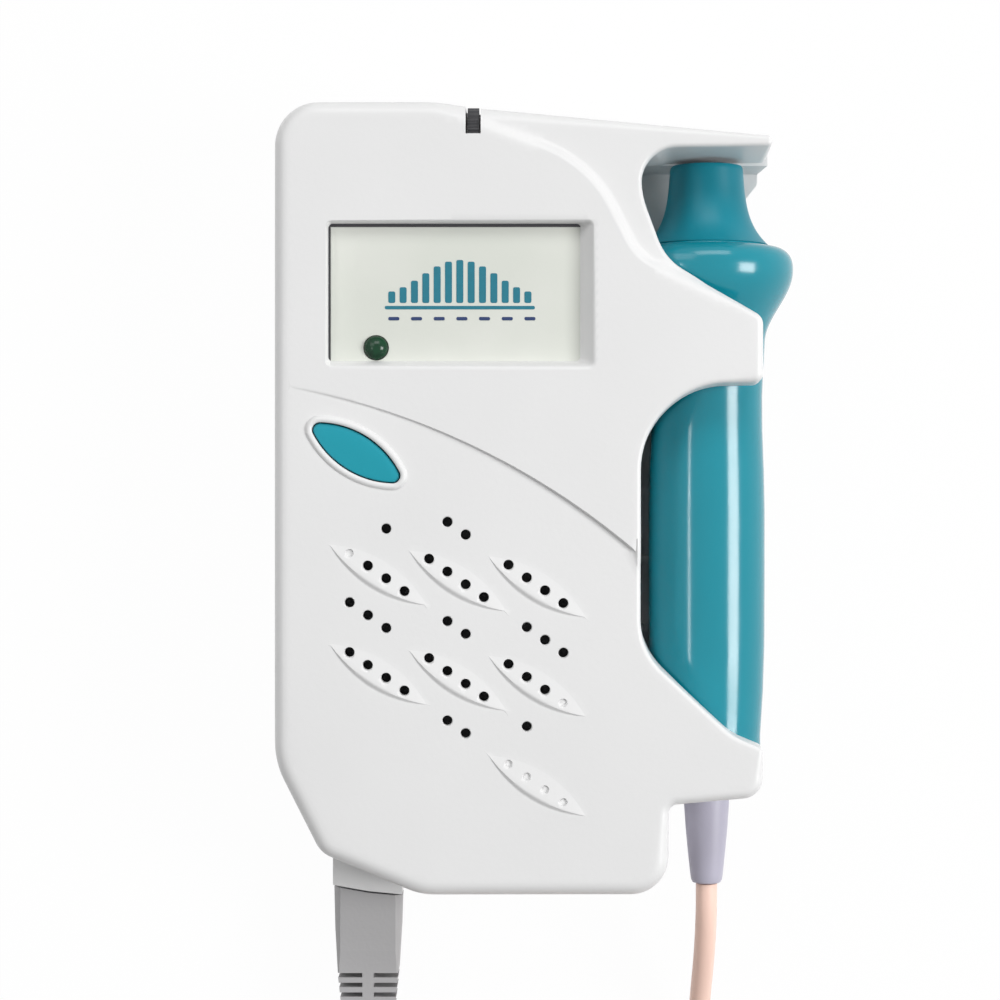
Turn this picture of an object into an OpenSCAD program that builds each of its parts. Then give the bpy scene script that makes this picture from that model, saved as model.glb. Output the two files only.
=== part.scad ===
// Pocket vascular doppler: a battery unit with a speaker, and a pencil probe docked in its side.
// It lies on its back. X runs to the right, Y towards the top end, Z out of the front face.
// The origin is on the back face, under the middle of the unit.

/* [Housing] */
// Height of the unit, from its bottom end to its top end
body_h = 136.2; // [130:0.1:150]
// Distance from the middle line to the left side
left_x = 42.1; // [41:0.1:46]
// Thickness of the closed housing
body_t = 34.4; // [33.6:0.1:38]
// Height of the joint between rear and front housing
parting_z = 16; // [15.5:0.1:17]
// Wall of both housings
wall = 2.1; // [1.6:0.1:2.4]
// How far the sides widen from the faces to the joint between the housings
draft = 0.8; // [0.3:0.1:1]
// Rounding along the outer edge
edge_r = 2.4; // [1.4:0.1:2.6]
// Rounding along the edges of the cradle
cradle_edge_r = 0.8; // [0.5:0.1:0.8]
// How much higher the front is in its middle than at its sides
crown = 0.7; // [0:0.1:1]

/* [Cradle] */
// Right side of the bridge and of the probe pocket
bridge_x = 41.7; // [40:0.1:43]
// Length of the bridge along the probe
bridge_h = 11.6; // [9:0.1:13]
// Right end of the shelf over the probe's face
shelf_x = 43.4; // [42:0.1:46]
// Underside of the shelf
shelf_y = 60.4; // [59.5:0.1:61]
// Left edge of the openings over the probe
opening_x = 20.7; // [20:0.1:21.5]

/* [Display and LED] */
// Width of the display recess
window_w = 45.7; // [40:0.1:47]
// Height of the display recess
window_h = 24.9; // [20:0.1:26]
// Slope of the recess walls, as a width
window_slope = 1.4; // [0.5:0.1:1.6]
// Thickness of the display plate
panel_t = 1.4; // [0.8:0.1:1.8]
// Diameter of the indicator light
led_d = 4.1; // [3:0.1:5]

/* [Power button] */
// Length of the almond-shaped button
button_l = 17; // [14:0.1:18]
// Width of the button
button_w = 6.3; // [5:0.1:7]
// Width of the raised rim round the button
button_rim = 1; // [0.6:0.1:1.4]
// Travel of the button
button_travel = 0.8; // [0.4:0.1:0.8]

/* [Speaker grille] */
// Diameter of a sound hole
hole_d = 1.7; // [1.2:0.1:2]
// Length of a leaf-shaped hollow
leaf_l = 19.5; // [16:0.1:20]
// Width of a leaf-shaped hollow
leaf_w = 5.2; // [4:0.1:6]
// Depth of a leaf-shaped hollow
leaf_depth = 0.6; // [0.3:0.1:0.9]
// Diameter of the speaker
speaker_d = 45; // [40:0.1:45.5]

/* [Volume wheel] */
// Diameter of the thumbwheel
wheel_d = 16.8; // [16:0.1:17.2]
// Thickness of the thumbwheel
wheel_t = 2; // [1.5:0.1:2.4]

/* [Batteries] */
// Diameter of a cell
cell_d = 14.2; // [13.5:0.1:14.5]
// Length of a cell
cell_l = 50.5; // [48:0.1:50.5]
// Thickness of the battery door
door_t = 1.6; // [1.2:0.1:1.8]
// Width of the battery door
door_w = 50.6; // [48:0.1:50.8]

/* [Probe] */
// Diameter of the probe's handle
handle_d = 20.6; // [19:0.1:21]
// Diameter of the probe's collar
collar_d = 30.6; // [27:0.1:30.8]
// Diameter of the probe's face
face_d = 12.8; // [11:0.1:14]
// Wall of the probe's shells
probe_wall = 1.6; // [1.2:0.1:2]
// Distance from the middle line to the probe's axis
probe_x = 33.3; // [33:0.1:34]
// Height of the probe's axis
probe_z = 16.6; // [16.4:0.1:16.8]

/* [Cable and plug] */
// Diameter of the cable
cable_d = 3.8; // [3.4:0.1:4]
// Width of the plug at its mouth
plug_w = 12.2; // [11:0.1:12.6]
// Thickness of the plug
plug_t = 9; // [8:0.1:9.6]
// Length of the plug with its relief
plug_l = 36; // [30:0.1:38]

/* [Hidden] */

shell_white = [0.89, 0.89, 0.88];
panel_green = [0.88, 0.89, 0.86];
probe_teal = [0.16, 0.56, 0.62];
plug_grey = [0.62, 0.62, 0.62];
boot_grey = [0.66, 0.65, 0.71];
cable_beige = [0.91, 0.78, 0.72];
board_green = [0.1, 0.42, 0.24];
dark_grey = [0.2, 0.2, 0.21];
metal_grey = [0.72, 0.73, 0.75];

gap = 0.3; // running clearance
fit = 0.2; // clearance between parts that seat in each other
eps = 0.02; // overlap that keeps cuts clean
far = 90; // reach of a cut that leaves the part
half_h = body_h / 2;
ceiling_z = body_t - wall - 0.8; // inner side of the front

// Corners of the outlines, from the top row to the bottom row: x, y, corner radius, edge rounding.
shelf_top_y = shelf_y + 1.9;
bridge_top_y = shelf_y - 29.2;
bridge_low_y = bridge_top_y - bridge_h;
pocket_top_y = -42.9;
pocket_low_y = -51.3;
foot_x = 25.6;
shelf_end_r = cradle_edge_r + 0.05;
front_right = [
    [-14, half_h, 8, edge_r],
    [-8, half_h - 0.9, 8, edge_r],
    [shelf_x, shelf_top_y, shelf_end_r, cradle_edge_r],
    [shelf_x, shelf_y + 0.1, shelf_end_r, cradle_edge_r],
    [opening_x, shelf_y - 0.2, 6, cradle_edge_r],
    [opening_x + 0.3, 52, 15, cradle_edge_r],
    [opening_x + 4.3, 41.2, 10, cradle_edge_r],
    [bridge_x, bridge_top_y, 2.5, 1.2],
    [bridge_x, bridge_low_y + 0.3, 1.5, 1.2],
    [opening_x, bridge_low_y, 15, cradle_edge_r],
    [opening_x, -26.2, 12, cradle_edge_r],
    [36.5, -40.8, 12, cradle_edge_r],
    [bridge_x, pocket_top_y, 1, cradle_edge_r],
    [bridge_x, pocket_low_y, 3.5, 1.6],
    [foot_x, pocket_low_y - 1.4, 1.6, 1.6],
    [foot_x, -half_h, 6.5, edge_r]];
rear_right = [
    [-14, half_h, 8, edge_r],
    [-8, half_h - 0.9, 8, edge_r],
    [shelf_x, shelf_top_y, 1, cradle_edge_r],
    [shelf_x, shelf_y - 3, 1, cradle_edge_r],
    [39.5, 52.5, 4, cradle_edge_r],
    [27, 50.5, 4, cradle_edge_r],
    [27, 29.5, 4, cradle_edge_r],
    [bridge_x, 24.5, 4, 1.2],
    [bridge_x, pocket_low_y, 3.5, 1.6],
    [foot_x, pocket_low_y - 1.4, 1.6, 1.6],
    [foot_x, -half_h, 6.5, edge_r]];
both_left = [
    [-left_x, half_h, 5, edge_r],
    [-left_x, -45.3, 15, edge_r],
    [-34.2, -60.9, 5, edge_r],
    [-17, -half_h, 12, edge_r]];

function unit(v) = v / norm(v);
function reversed(list) = [for (i = [len(list) - 1:-1:0]) list[i]];
function turn(a) = (a % 360 + 540) % 360 - 180;

// Points along the arc that rounds corner p between its neighbours a and c, each with its edge rounding.
function corner_arc(a, p, c, step = 24) =
    let (u = unit([a.x - p.x, a.y - p.y]), v = unit([c.x - p.x, c.y - p.y]))
    let (half = acos(u * v) / 2, centre = [p.x, p.y] + unit(u + v) * p[2] / sin(half))
    let (from = [p.x, p.y] + u * p[2] / tan(half) - centre, to = [p.x, p.y] + v * p[2] / tan(half) - centre)
    let (start = atan2(from.y, from.x), sweep = turn(atan2(to.y, to.x) - start))
    let (n = max(1, ceil(abs(sweep) / step)))
    [for (k = [0:n]) concat(centre + p[2] * [cos(start + sweep * k / n), sin(start + sweep * k / n)], p[3])];

// One side of an outline: its rounded corners, where first and last are the corners across from its ends.
function side(corners, first, last) = [
    for (i = [0:len(corners) - 1])
        each corner_arc(i == 0 ? first : corners[i - 1], corners[i],
            i == len(corners) - 1 ? last : corners[i + 1])];

function sorted_down(list) = len(list) < 2 ? list :
    let (pivot = list[floor(len(list) / 2)])
    concat(sorted_down([for (v = list) if (v > pivot) v]), [pivot],
        sorted_down([for (v = list) if (v < pivot) v]));
function thinned(list, least = 0.14) = [
    for (i = [0:len(list) - 1])
        if (i == 0 || i == len(list) - 1
            || (list[i - 1] - list[i] > least && list[i] - list[len(list) - 1] > least)) list[i]];
function at(chain, y, k) = lookup(y, [for (p = reversed(chain)) [p.y, p[k]]]);

// Rows across an outline, top to bottom: [left point, right point], each x, y, edge rounding.
function rows_of(left, right) =
    let (levels = thinned(sorted_down(concat([for (p = left) p.y], [for (p = right) p.y]))))
    [for (y = levels) [
        [at(left, y, 0), y, at(left, y, 2)],
        [at(right, y, 0), y, at(right, y, 2)]]];

left_side = side(both_left, front_right[0], front_right[len(front_right) - 1]);
front_rows = rows_of(left_side,
    side(front_right, both_left[0], both_left[len(both_left) - 1]));
rear_rows = rows_of(left_side,
    side(rear_right, both_left[0], both_left[len(both_left) - 1]));

// The closed outline, clockwise: down the right side and up the left side.
function ring_of(rows) = concat([for (r = rows) r[1]], [for (r = reversed(rows)) r[0]]);
function inward(ring, i) =
    let (n = len(ring), a = ring[(i + n - 1) % n], b = ring[(i + 1) % n])
    let (t = unit([b.x - a.x, b.y - a.y])) [t.y, -t.x];
function inset(ring, by) = [for (i = [0:len(ring) - 1])
    [ring[i].x, ring[i].y] + inward(ring, i) * by];

// How far the front lies under its highest point.
function sag(x, y, rise) = rise * (pow(x / left_x, 2) + pow(y / half_h, 2)) / 2;

// A closed skin over an outline: sides that widen by draft to z = 0, a rounded edge and a crowned face.
// The points start 1 mm lower and a flat face eps higher, and the cuts then leave one clean face there.
module skin(rows, height, rise = 0, columns = 1) {
    ring = ring_of(rows);
    top = rise == 0 ? height + eps : height;
    m = len(rows);
    n = len(ring);
    angles = [0, 30, 60, 90];
    // every ring of points, from the joint up to the edge of the face
    levels = concat(
        [[for (i = [0:n - 1])
            let (q = [ring[i].x, ring[i].y] - inward(ring, i) * draft * (1 + 1 / (height - ring[i][2])))
            [q.x, q.y, -1]]],
        [for (a = angles) [for (i = [0:n - 1])
            let (e = ring[i][2], q = [ring[i].x, ring[i].y] + inward(ring, i) * e * (1 - cos(a)))
            [q.x, q.y, top - sag(q.x, q.y, rise) - e + e * sin(a)]]]);
    last = len(levels) - 1;
    inner = [for (r = [1:m - 2], c = [1:1:columns - 1])
        let (l = levels[last][n - 1 - r], q = l + (levels[last][r] - l) * c / columns)
        [q.x, q.y, top - sag(q.x, q.y, rise)]];
    function face_point(r, c) =
        c == 0 ? last * n + n - 1 - r : c == columns ? last * n + r :
        (last + 1) * n + (r - 1) * (columns - 1) + c - 1;
    sides = [for (k = [0:last - 1], i = [0:n - 1])
        let (j = (i + 1) % n, a = k * n, b = (k + 1) * n)
        each [[a + i, a + j, b + j], [a + i, b + j, b + i]]];
    face = concat(
        [for (r = [1:m - 3], c = [0:columns - 1])
            each [[face_point(r, c), face_point(r, c + 1), face_point(r + 1, c + 1)],
                [face_point(r, c), face_point(r + 1, c + 1), face_point(r + 1, c)]]],
        [for (c = [0:columns - 1])
            each [[face_point(0, 0), face_point(1, c + 1), face_point(1, c)],
                [face_point(m - 2, c), face_point(m - 2, c + 1), face_point(m - 1, 0)]]],
        [[face_point(0, 0), face_point(0, columns), face_point(1, columns)],
            [face_point(m - 2, columns), face_point(m - 1, columns), face_point(m - 1, 0)]]);
    floor_faces = [for (r = [0:m - 2])
        each [[n - 1 - r, n - 2 - r, r + 1], [n - 1 - r, r + 1, r]]];
    difference() {
        polyhedron(concat([for (l = levels) each l], inner), concat(sides, face, floor_faces));
        translate([-far, -far, -far]) cube([2 * far, 2 * far, far]);
        if (rise == 0) translate([-far, -far, height]) cube([2 * far, 2 * far, far]);
    }
}

// The room inside both housings, left of the cradle.
wall_x = opening_x - wall; // inner side of the cradle's wall beside the handle
collar_wall_x = probe_x - collar_d / 2 - gap - wall; // and beside the collar
module cavity_outline() {
    inner_left = [for (p = inset(ring_of(front_rows), wall)) if (p.x < -15.5) p];
    polygon(concat([
        [-13, half_h - 1.1 - wall], [collar_wall_x, 65.4 - wall],
        [collar_wall_x, 27.5], [wall_x, 26], [wall_x, pocket_low_y - 3.4],
        [foot_x - wall, pocket_low_y - 4.4], [foot_x - wall, -61], [foot_x - wall - 4.5, -half_h + wall]],
        inner_left));
}

// The probe's room, open to the right, so that the probe can leave sideways.
probe_low_y = -49.4;
probe_tip_y = shelf_y - 1.4;
collar_y = 40.4; // widest place of the collar
boot_slot_r = 4.6;
module sideways(r, y0, y1) {
    translate([probe_x, y0, probe_z]) rotate([-90, 0, 0]) cylinder(r = r, h = y1 - y0, $fn = 96);
    translate([probe_x, y0, probe_z - r]) cube([far, y1 - y0, 2 * r]);
}
module probe_room() {
    sideways(handle_d / 2 + gap + 0.1, probe_low_y - gap, 30);
    sideways(collar_d / 2 + gap, 28.2, 46);
    translate([collar_wall_x + wall, 45.5, parting_z - 12]) cube([far, shelf_y - 1.2 - 45.5, 27.4]);
    sideways(boot_slot_r, -60, probe_low_y);
}

// Screws that hold the housings together, from the back.
screw_places = [[-36.9, 16.2], [14.6, 12], [-36.2, -38], [18.6, -59.6]];
screw_d = 2.5;
boss_d = 5.8;
head_d = 4.6;
head_z = 3.4;
module at_screws() {
    for (p = screw_places) translate([p.x, p.y, 0]) children();
}

// Places on the front.
window_at = [-10.4, 35.1];
led_at = [-24.7, 25.9];
button_at = [-28, 7.8];
button_turn = -32;
speaker_at = [-10.8, -22.1];
step_centre = [-62.6, -105.8]; // centre of the long step under the display
step_r = 127;
step_drop = 0.9; // how deep the front lies past this step at its right end
corner_drop = 1; // and past the step at the upper right corner
step_tilt = atan((step_drop - 0.3) / 61);
corner_tilt = atan(corner_drop / 48);

module almond(l, w) {
    r = (l * l + w * w) / 4 / w;
    intersection() {
        translate([0, r - w / 2]) circle(r, $fn = 160);
        translate([0, w / 2 - r]) circle(r, $fn = 160);
    }
}

// The sound holes stand in slanted groups of up to four: row, column, first place, last place.
open_holes = [
    [-1, 0, 2, 2], [-1, 1, 1, 2],
    [0, 0, 1, 3], [0, 1, 0, 3], [0, 2, 0, 3],
    [1, 0, 0, 2], [1, 1, 1, 2], [1, 2, 1, 3],
    [2, 0, 0, 3], [2, 1, 0, 3], [2, 2, 0, 2],
    [3, 1, 1, 2], [3, 2, 1, 1]];
blind_holes = [[0, 0, 0, 0], [2, 2, 3, 3], [4, 2, 0, 3]];
leaves = [[0, 0], [0, 1], [0, 2], [2, 0], [2, 1], [2, 2], [4, 2]];
grille_from = speaker_at + [-18.35, 12.8];
column_step = [13.6, -1.03];
row_step = [0, -8.5];
place_step = [3.13, -2.19];
leaf_turn = -32;
function hole_at(row, column, place) =
    grille_from + column * column_step + row * row_step + place * place_step;
module at_holes(groups) {
    for (g = groups, k = [g[2]:g[3]]) translate(hole_at(g[0], g[1], k)) children();
}
leaf_z = body_t - 0.75; // height of the front over the speaker

module leaf_cuts() {
    for (l = leaves)
        translate(concat(hole_at(l[0], l[1], 1.5) + [0.2, -0.5], leaf_z - leaf_depth))
            rotate([0, 0, leaf_turn]) linear_extrude(2) almond(leaf_l, leaf_w);
}

// The front falls away under the display and towards the upper right corner, past two long steps.
module lowered_fields() {
    intersection() {
        translate([step_centre.x, step_centre.y, parting_z]) cylinder(r = step_r, h = 40, $fn = 360);
        translate([-left_x, 19, body_t - 0.38]) rotate([0, step_tilt, 0])
            translate([-30, -150, 0]) cube([180, 300, 20]);
    }
    intersection() {
        translate([0, 0, parting_z]) linear_extrude(40)
            polygon(concat([[-20, 69.3]],
                [for (p = corner_arc([-20, 69.3], [12.1, 57.7, 22, 0], [20.4, 41.5], 10)) [p.x, p.y]],
                [for (p = corner_arc([12.1, 57.7], [20.4, 41.5, 9, 0], [46, 29.5], 12)) [p.x, p.y]],
                [[46, 29.5], [60, 80]]));
        translate([-16, 68, body_t - 0.5]) rotate([0, corner_tilt, -12])
            translate([-10, -80, 0]) cube([120, 120, 20]);
    }
}

module window_cut() {
    w = window_w / 2 - window_slope;
    h = window_h / 2 - window_slope;
    low = ceiling_z;
    rise = body_t + 0.4 - ceiling_z;
    s = window_slope * (rise + 0.6) / rise;
    translate(concat(window_at, 0)) {
        translate([-w, -h, low - 1]) cube([2 * w, 2 * h, 1.4]);
        polyhedron(
            concat([for (p = [[-w, -h], [w, -h], [w, h], [-w, h]]) [p.x, p.y, low + 0.3]],
                [for (p = [[-w - s, -h - s], [w + s, -h - s], [w + s, h + s], [-w - s, h + s]])
                    [p.x, p.y, low + rise + 0.3]]),
            [[0, 1, 2, 3], [7, 6, 5, 4], [0, 4, 5, 1], [1, 5, 6, 2], [2, 6, 7, 3], [3, 7, 4, 0]]);
    }
}

// The volume wheel turns in a slot over the top front edge.
wheel_at = [-8, 60.5, body_t - 9.4];
slot_low_y = 62.4;
pot_size = [5, 7, 10.6];
jack_x = -28;
jack_z = 22.5;
jack_d = 5.8;
jack_l = 12.5;
jack_seat_y = half_h - wall - 0.7; // inside the wall, which slopes at the top end
board_z = 22;
board_t = 1.6;
board_from = [-33.4, 2];
board_to = [11.2, 51];
post_places = [[-12, 17.4], [8.4, 17.4], [-12, 4.8], [8.4, 4.8]];
post_d = 4.4;
post_screw_d = 2;

module front_housing() {
    color(shell_white) {
        difference() {
            union() {
                difference() {
                    translate([0, 0, parting_z]) skin(front_rows, body_t - parting_z, crown, 6);
                    lowered_fields();
                    translate([0, 0, parting_z - 1]) linear_extrude(ceiling_z - parting_z + 1)
                        cavity_outline();
                }
                at_screws() translate([0, 0, parting_z])
                    cylinder(d = boss_d, h = ceiling_z - parting_z + eps, $fn = 32);
                for (p = post_places) translate([p.x, p.y, board_z + board_t])
                    cylinder(d = post_d, h = ceiling_z - board_z - board_t + eps, $fn = 32);
            }
            probe_room();
            window_cut();
            translate(concat(button_at, ceiling_z - 1)) rotate([0, 0, button_turn])
                linear_extrude(9) almond(button_l + 2 * fit, button_w + 2 * fit);
            at_holes(open_holes) translate([0, 0, ceiling_z - 1]) cylinder(d = hole_d, h = 6, $fn = 24);
            at_holes(blind_holes) translate([0, 0, leaf_z - leaf_depth - 0.5])
                cylinder(d = hole_d, h = 4, $fn = 24);
            leaf_cuts();
            translate([wheel_at.x - wheel_t / 2 - gap, slot_low_y, wheel_at.z - 4])
                cube([wheel_t + 2 * gap, 12, 20]);
            translate([wheel_at.x - wheel_t / 2 - gap, wheel_at.y, wheel_at.z])
                rotate([0, 90, 0]) cylinder(d = wheel_d + 2 * gap, h = wheel_t + 2 * gap, $fn = 64);
            translate([jack_x, half_h - 8, jack_z]) rotate([-90, 0, 0])
                cylinder(d = jack_d + fit, h = 12, $fn = 32);
            at_screws() translate([0, 0, parting_z - 1])
                cylinder(d = screw_d, h = 11, $fn = 24);
            for (p = post_places) translate([p.x, p.y, board_z])
                cylinder(d = post_screw_d, h = 7, $fn = 24);
        }
        // the raised rim round the button
        translate(concat(button_at, ceiling_z)) rotate([0, 0, button_turn])
            linear_extrude(body_t - 0.1 - ceiling_z) difference() {
                almond(button_l + 2 * button_rim + 2, button_w + 2 * button_rim);
                almond(button_l + 2 * fit, button_w + 2 * fit);
            }
    }
}

// The battery bay in the back, and the door that slides off over the top end.
bay_low_y = 21.2;
bay_wall = 1.4;
cell_pitch = cell_d + 0.6;
bay_high_y = bay_low_y + cell_pitch + cell_d + 0.8;
cell_z = door_t + gap + 0.4 + cell_d / 2;
cells_from = -37.4;
bay_from = -40;
bay_to = cells_from + cell_l + 1;
door_x = -12.5;
door_low_y = bay_low_y - 1.6;
door_high_y = half_h - 1.7;
door_lip = 0.8; // how far the tongues reach under the back on each side
tongue_t = door_t / 2;
pocket_t = door_t + gap + fit;
pocket_roof = 1.5;

socket_x = -27;
socket_z = 10;
block_w = 12.3;
block_low_y = -69.9;
block_slant = [1.1, -0.6]; // how the block's left and right ends lie above and below its middle
plug_mouth_y = block_low_y - 0.5;
socket_mouth_y = block_low_y + 1.3;
socket_bore = [8.6, 4.9];
plug_out = 12; // travel of the plug out of its socket

module rear_housing() {
    saddle_z = probe_z - handle_d / 2 - gap; // top of the ribs that the handle rests on
    color(shell_white) difference() {
        union() {
            difference() {
                translate([0, 0, parting_z]) mirror([0, 0, 1]) skin(rear_rows, parting_z);
                translate([0, 0, wall]) linear_extrude(parting_z) cavity_outline();
                // the bed under the handle, with its ribs left standing
                for (y = [-47.6, -35.2, -22.8, -10.4, 2, 14.4])
                    translate([wall_x + wall + 1.4, y, wall])
                        cube([bridge_x - wall_x - 2 * wall - 1.4, 11.2, parting_z]);
                translate([wall_x + wall, probe_low_y - gap, saddle_z])
                    cube([far, 30 - probe_low_y, parting_z]);
            }
            at_screws() cylinder(d = boss_d, h = parting_z, $fn = 32);
            // walls of the battery bay
            translate([bay_from - 1, bay_low_y - bay_wall, wall - eps])
                cube([bay_to - bay_from + bay_wall + 1, bay_wall, cell_z]);
            translate([bay_from - 1, bay_high_y, wall - eps])
                cube([bay_to - bay_from + bay_wall + 1, bay_wall, cell_z]);
            translate([bay_to, bay_low_y - bay_wall, wall - eps])
                cube([bay_wall, bay_high_y - bay_low_y + 2 * bay_wall, cell_z]);
            // roof of the door's pocket
            translate([door_x - door_w / 2 - 2, bay_low_y - 3, pocket_t])
                cube([door_w + 4, half_h - bay_low_y + 1.4, pocket_roof]);
            // the block round the probe socket
            translate([socket_x, block_low_y, 2]) linear_extrude(parting_z - 2.2)
                polygon([[-block_w / 2, block_slant[0]], [0, 0], [block_w / 2, block_slant[1]],
                    [block_w / 2, 12], [-block_w / 2, 12]]);
        }
        probe_room();
        // the pocket, with grooves for the door's tongues, and the opening over the cells
        translate([door_x - door_w / 2 - fit, door_low_y - fit, -1])
            cube([door_w + 2 * fit, far, pocket_t + 1]);
        translate([door_x - door_w / 2 - door_lip - fit, door_low_y - fit, pocket_t - tongue_t - 2 * fit])
            cube([door_w + 2 * door_lip + 2 * fit, far, tongue_t + 2 * fit]);
        translate([cells_from + 0.4, bay_low_y + 0.6, -1])
            cube([cell_l - 1.3, bay_high_y - bay_low_y - 1.2, 8]);
        // room for the cells beside the opening
        translate([bay_from, bay_low_y, cell_z]) rotate([0, 90, 0]) {
            for (k = [0, 1]) translate([0, cell_d / 2 + 0.4 + k * cell_pitch, 0])
                cylinder(d = cell_d + 2 * gap, h = bay_to - bay_from, $fn = 64);
        }
        at_screws() {
            translate([0, 0, -1]) cylinder(d = head_d + 2 * fit, h = head_z + 1, $fn = 32);
            translate([0, 0, -1]) cylinder(d = screw_d + fit, h = parting_z + 3, $fn = 24);
        }
        // the probe socket's seat
        translate([socket_x - block_w / 2 + 1.6, block_low_y - 1, socket_z - 4.4])
            cube([block_w - 3.2, 14, 8.8]);
    }
}

module battery_door() {
    color(shell_white) difference() {
        union() {
            translate([door_x - door_w / 2, door_low_y, gap])
                cube([door_w, door_high_y - door_low_y, door_t]);
            translate([door_x - door_w / 2 - door_lip, door_low_y, pocket_t - tongue_t - fit])
                cube([door_w + 2 * door_lip, door_high_y - door_low_y, tongue_t]);
        }
        // finger grooves near the top end
        for (k = [0:4]) translate([door_x, door_high_y - 8 - 2.2 * k, gap - 0.5]) rotate([0, 90, 0])
            cylinder(r = 0.8, h = 16, center = true, $fn = 24);
    }
}

module display_panel() {
    color(panel_green) translate(concat(window_at, ceiling_z - panel_t)) difference() {
        translate([-window_w / 2 - 0.6, -window_h / 2 - 0.6, 0])
            cube([window_w + 1.2, window_h + 1.2, panel_t]);
        translate(concat(led_at - window_at, -1)) cylinder(d = led_d + fit, h = 4, $fn = 32);
    }
}

module led_lens() {
    top = ceiling_z + 0.2;
    color([0.05, 0.35, 0.2]) translate(concat(led_at, 0)) {
        translate([0, 0, board_z + board_t]) cylinder(d = led_d, h = top - board_z - board_t, $fn = 32);
        translate([0, 0, board_z + board_t]) cylinder(d = led_d + 0.9, h = 1, $fn = 32);
        translate([0, 0, top]) intersection() {
            translate([0, 0, -led_d / 4]) sphere(d = led_d * 1.118, $fn = 32);
            cylinder(d = led_d * 1.2, h = led_d, $fn = 32);
        }
    }
}

module main_board() {
    color(board_green) difference() {
        translate([board_from.x, board_from.y, board_z])
            cube([board_to.x - board_from.x, board_to.y - board_from.y, board_t]);
        for (p = post_places) translate([p.x, p.y, board_z - 1])
            cylinder(d = post_screw_d + fit, h = 4, $fn = 24);
    }
}

module board_chips() {
    // [x, y, length, width, height] of each package on the board
    parts = [[-24, 34, 12, 9, 1.6], [-4, 40, 9, 9, 1.4], [-2, 27, 7, 5, 1.4], [-26, 45, 8, 5, 1.2]];
    color(dark_grey) for (p = parts)
        translate([p[0], p[1], board_z + board_t]) translate([-p[2] / 2, -p[3] / 2, 0])
            cube([p[2], p[3], p[4]]);
}

module board_screws() {
    color(metal_grey) for (p = post_places) translate([p.x, p.y, 0]) {
        translate([0, 0, board_z - 1.2]) cylinder(d = 3.6, h = 1.2, $fn = 32);
        translate([0, 0, board_z - eps]) cylinder(d = post_screw_d - 0.1, h = 5, $fn = 24);
    }
}

switch_h = 3.4;
switch_top = board_z + board_t + switch_h + 0.7;
module power_switch() {
    color(dark_grey) translate(concat(button_at, board_z + board_t)) {
        translate([-3, -3, 0]) cube([6, 6, switch_h]);
        cylinder(d = 3.4, h = switch_top - board_z - board_t, $fn = 32);
    }
}

button_top = body_t - 0.7;
module power_button() {
    flange_z = ceiling_z - gap - 1.4;
    color(probe_teal) translate(concat(button_at, 0)) rotate([0, 0, button_turn]) {
        translate([0, 0, flange_z + 1]) linear_extrude(button_top - flange_z - 1)
            almond(button_l, button_w);
        translate([0, 0, flange_z]) linear_extrude(1.4) almond(button_l + 1.4, button_w + 2);
        translate([0, 0, switch_top + button_travel + 0.1])
            cylinder(d = 3, h = flange_z - switch_top - button_travel, $fn = 32);
    }
}

module volume_pot() {
    x = wheel_at.x + wheel_t / 2 + gap;
    color(dark_grey) difference() {
        translate([x, wheel_at.y - pot_size.y / 2, ceiling_z - 0.3 - pot_size.z]) cube(pot_size);
        translate([x - 1, wheel_at.y, wheel_at.z]) rotate([0, 90, 0])
            cylinder(d = 3 + fit, h = 4.2, $fn = 32);
    }
}

module volume_wheel() {
    teeth = 36;
    color(dark_grey) translate(wheel_at) rotate([0, 90, 0]) {
        difference() {
            translate([0, 0, -wheel_t / 2]) cylinder(d = wheel_d, h = wheel_t, $fn = 64);
            for (k = [0:teeth - 1]) rotate([0, 0, 360 / teeth * k])
                translate([wheel_d / 2 + 0.1, 0, -wheel_t]) cylinder(d = 0.8, h = 2 * wheel_t, $fn = 16);
        }
        cylinder(d = 3, h = wheel_t / 2 + 3, $fn = 32);
    }
}

module headphone_jack() {
    color(dark_grey) difference() {
        union() {
            translate([jack_x - 4, jack_seat_y - jack_l, jack_z - 3]) cube([8, jack_l, 6]);
            translate([jack_x, jack_seat_y - 0.2, jack_z]) rotate([-90, 0, 0])
                cylinder(d = jack_d, h = half_h - jack_seat_y, $fn = 32);
        }
        translate([jack_x, half_h - 14, jack_z]) rotate([-90, 0, 0])
            cylinder(d = 3.6, h = 20, $fn = 32);
    }
}

cloth_t = 0.4;
frame_h = 3.4;
magnet_d = 22;
magnet_h = 7.5;
cone_top = ceiling_z - cloth_t - 0.4;
module speaker_frame() {
    color(metal_grey) translate(concat(speaker_at, ceiling_z - cloth_t - frame_h)) difference() {
        cylinder(d = speaker_d, h = frame_h, $fn = 96);
        translate([0, 0, 0.8]) cylinder(d = speaker_d - 2.4, h = frame_h, $fn = 96);
        translate([0, 0, -1]) cylinder(d = 13, h = 4, $fn = 48);
        for (k = [0:5]) rotate([0, 0, 60 * k]) translate([15.4, 0, -1])
            cylinder(d = 6, h = 4, $fn = 32);
    }
}

module speaker_cone() {
    color(dark_grey) translate(concat(speaker_at, cone_top)) rotate_extrude($fn = 96)
        polygon([[0, -1], [5, -0.7], [8, -1.6], [16.4, -0.6], [19, -0.1], [speaker_d / 2 - 1.3, -0.5],
            [speaker_d / 2 - 1.3, -0.9], [19, -0.5], [16.4, -1], [8, -2], [5, -1.1], [0, -1.4]]);
}

module speaker_magnet() {
    color([0.25, 0.25, 0.27])
        translate(concat(speaker_at, ceiling_z - cloth_t - frame_h - magnet_h))
            rotate_extrude($fn = 64)
                polygon([[0, 0], [magnet_d / 2 - 0.8, 0], [magnet_d / 2, 0.8],
                    [magnet_d / 2, magnet_h], [0, magnet_h]]);
}

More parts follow.
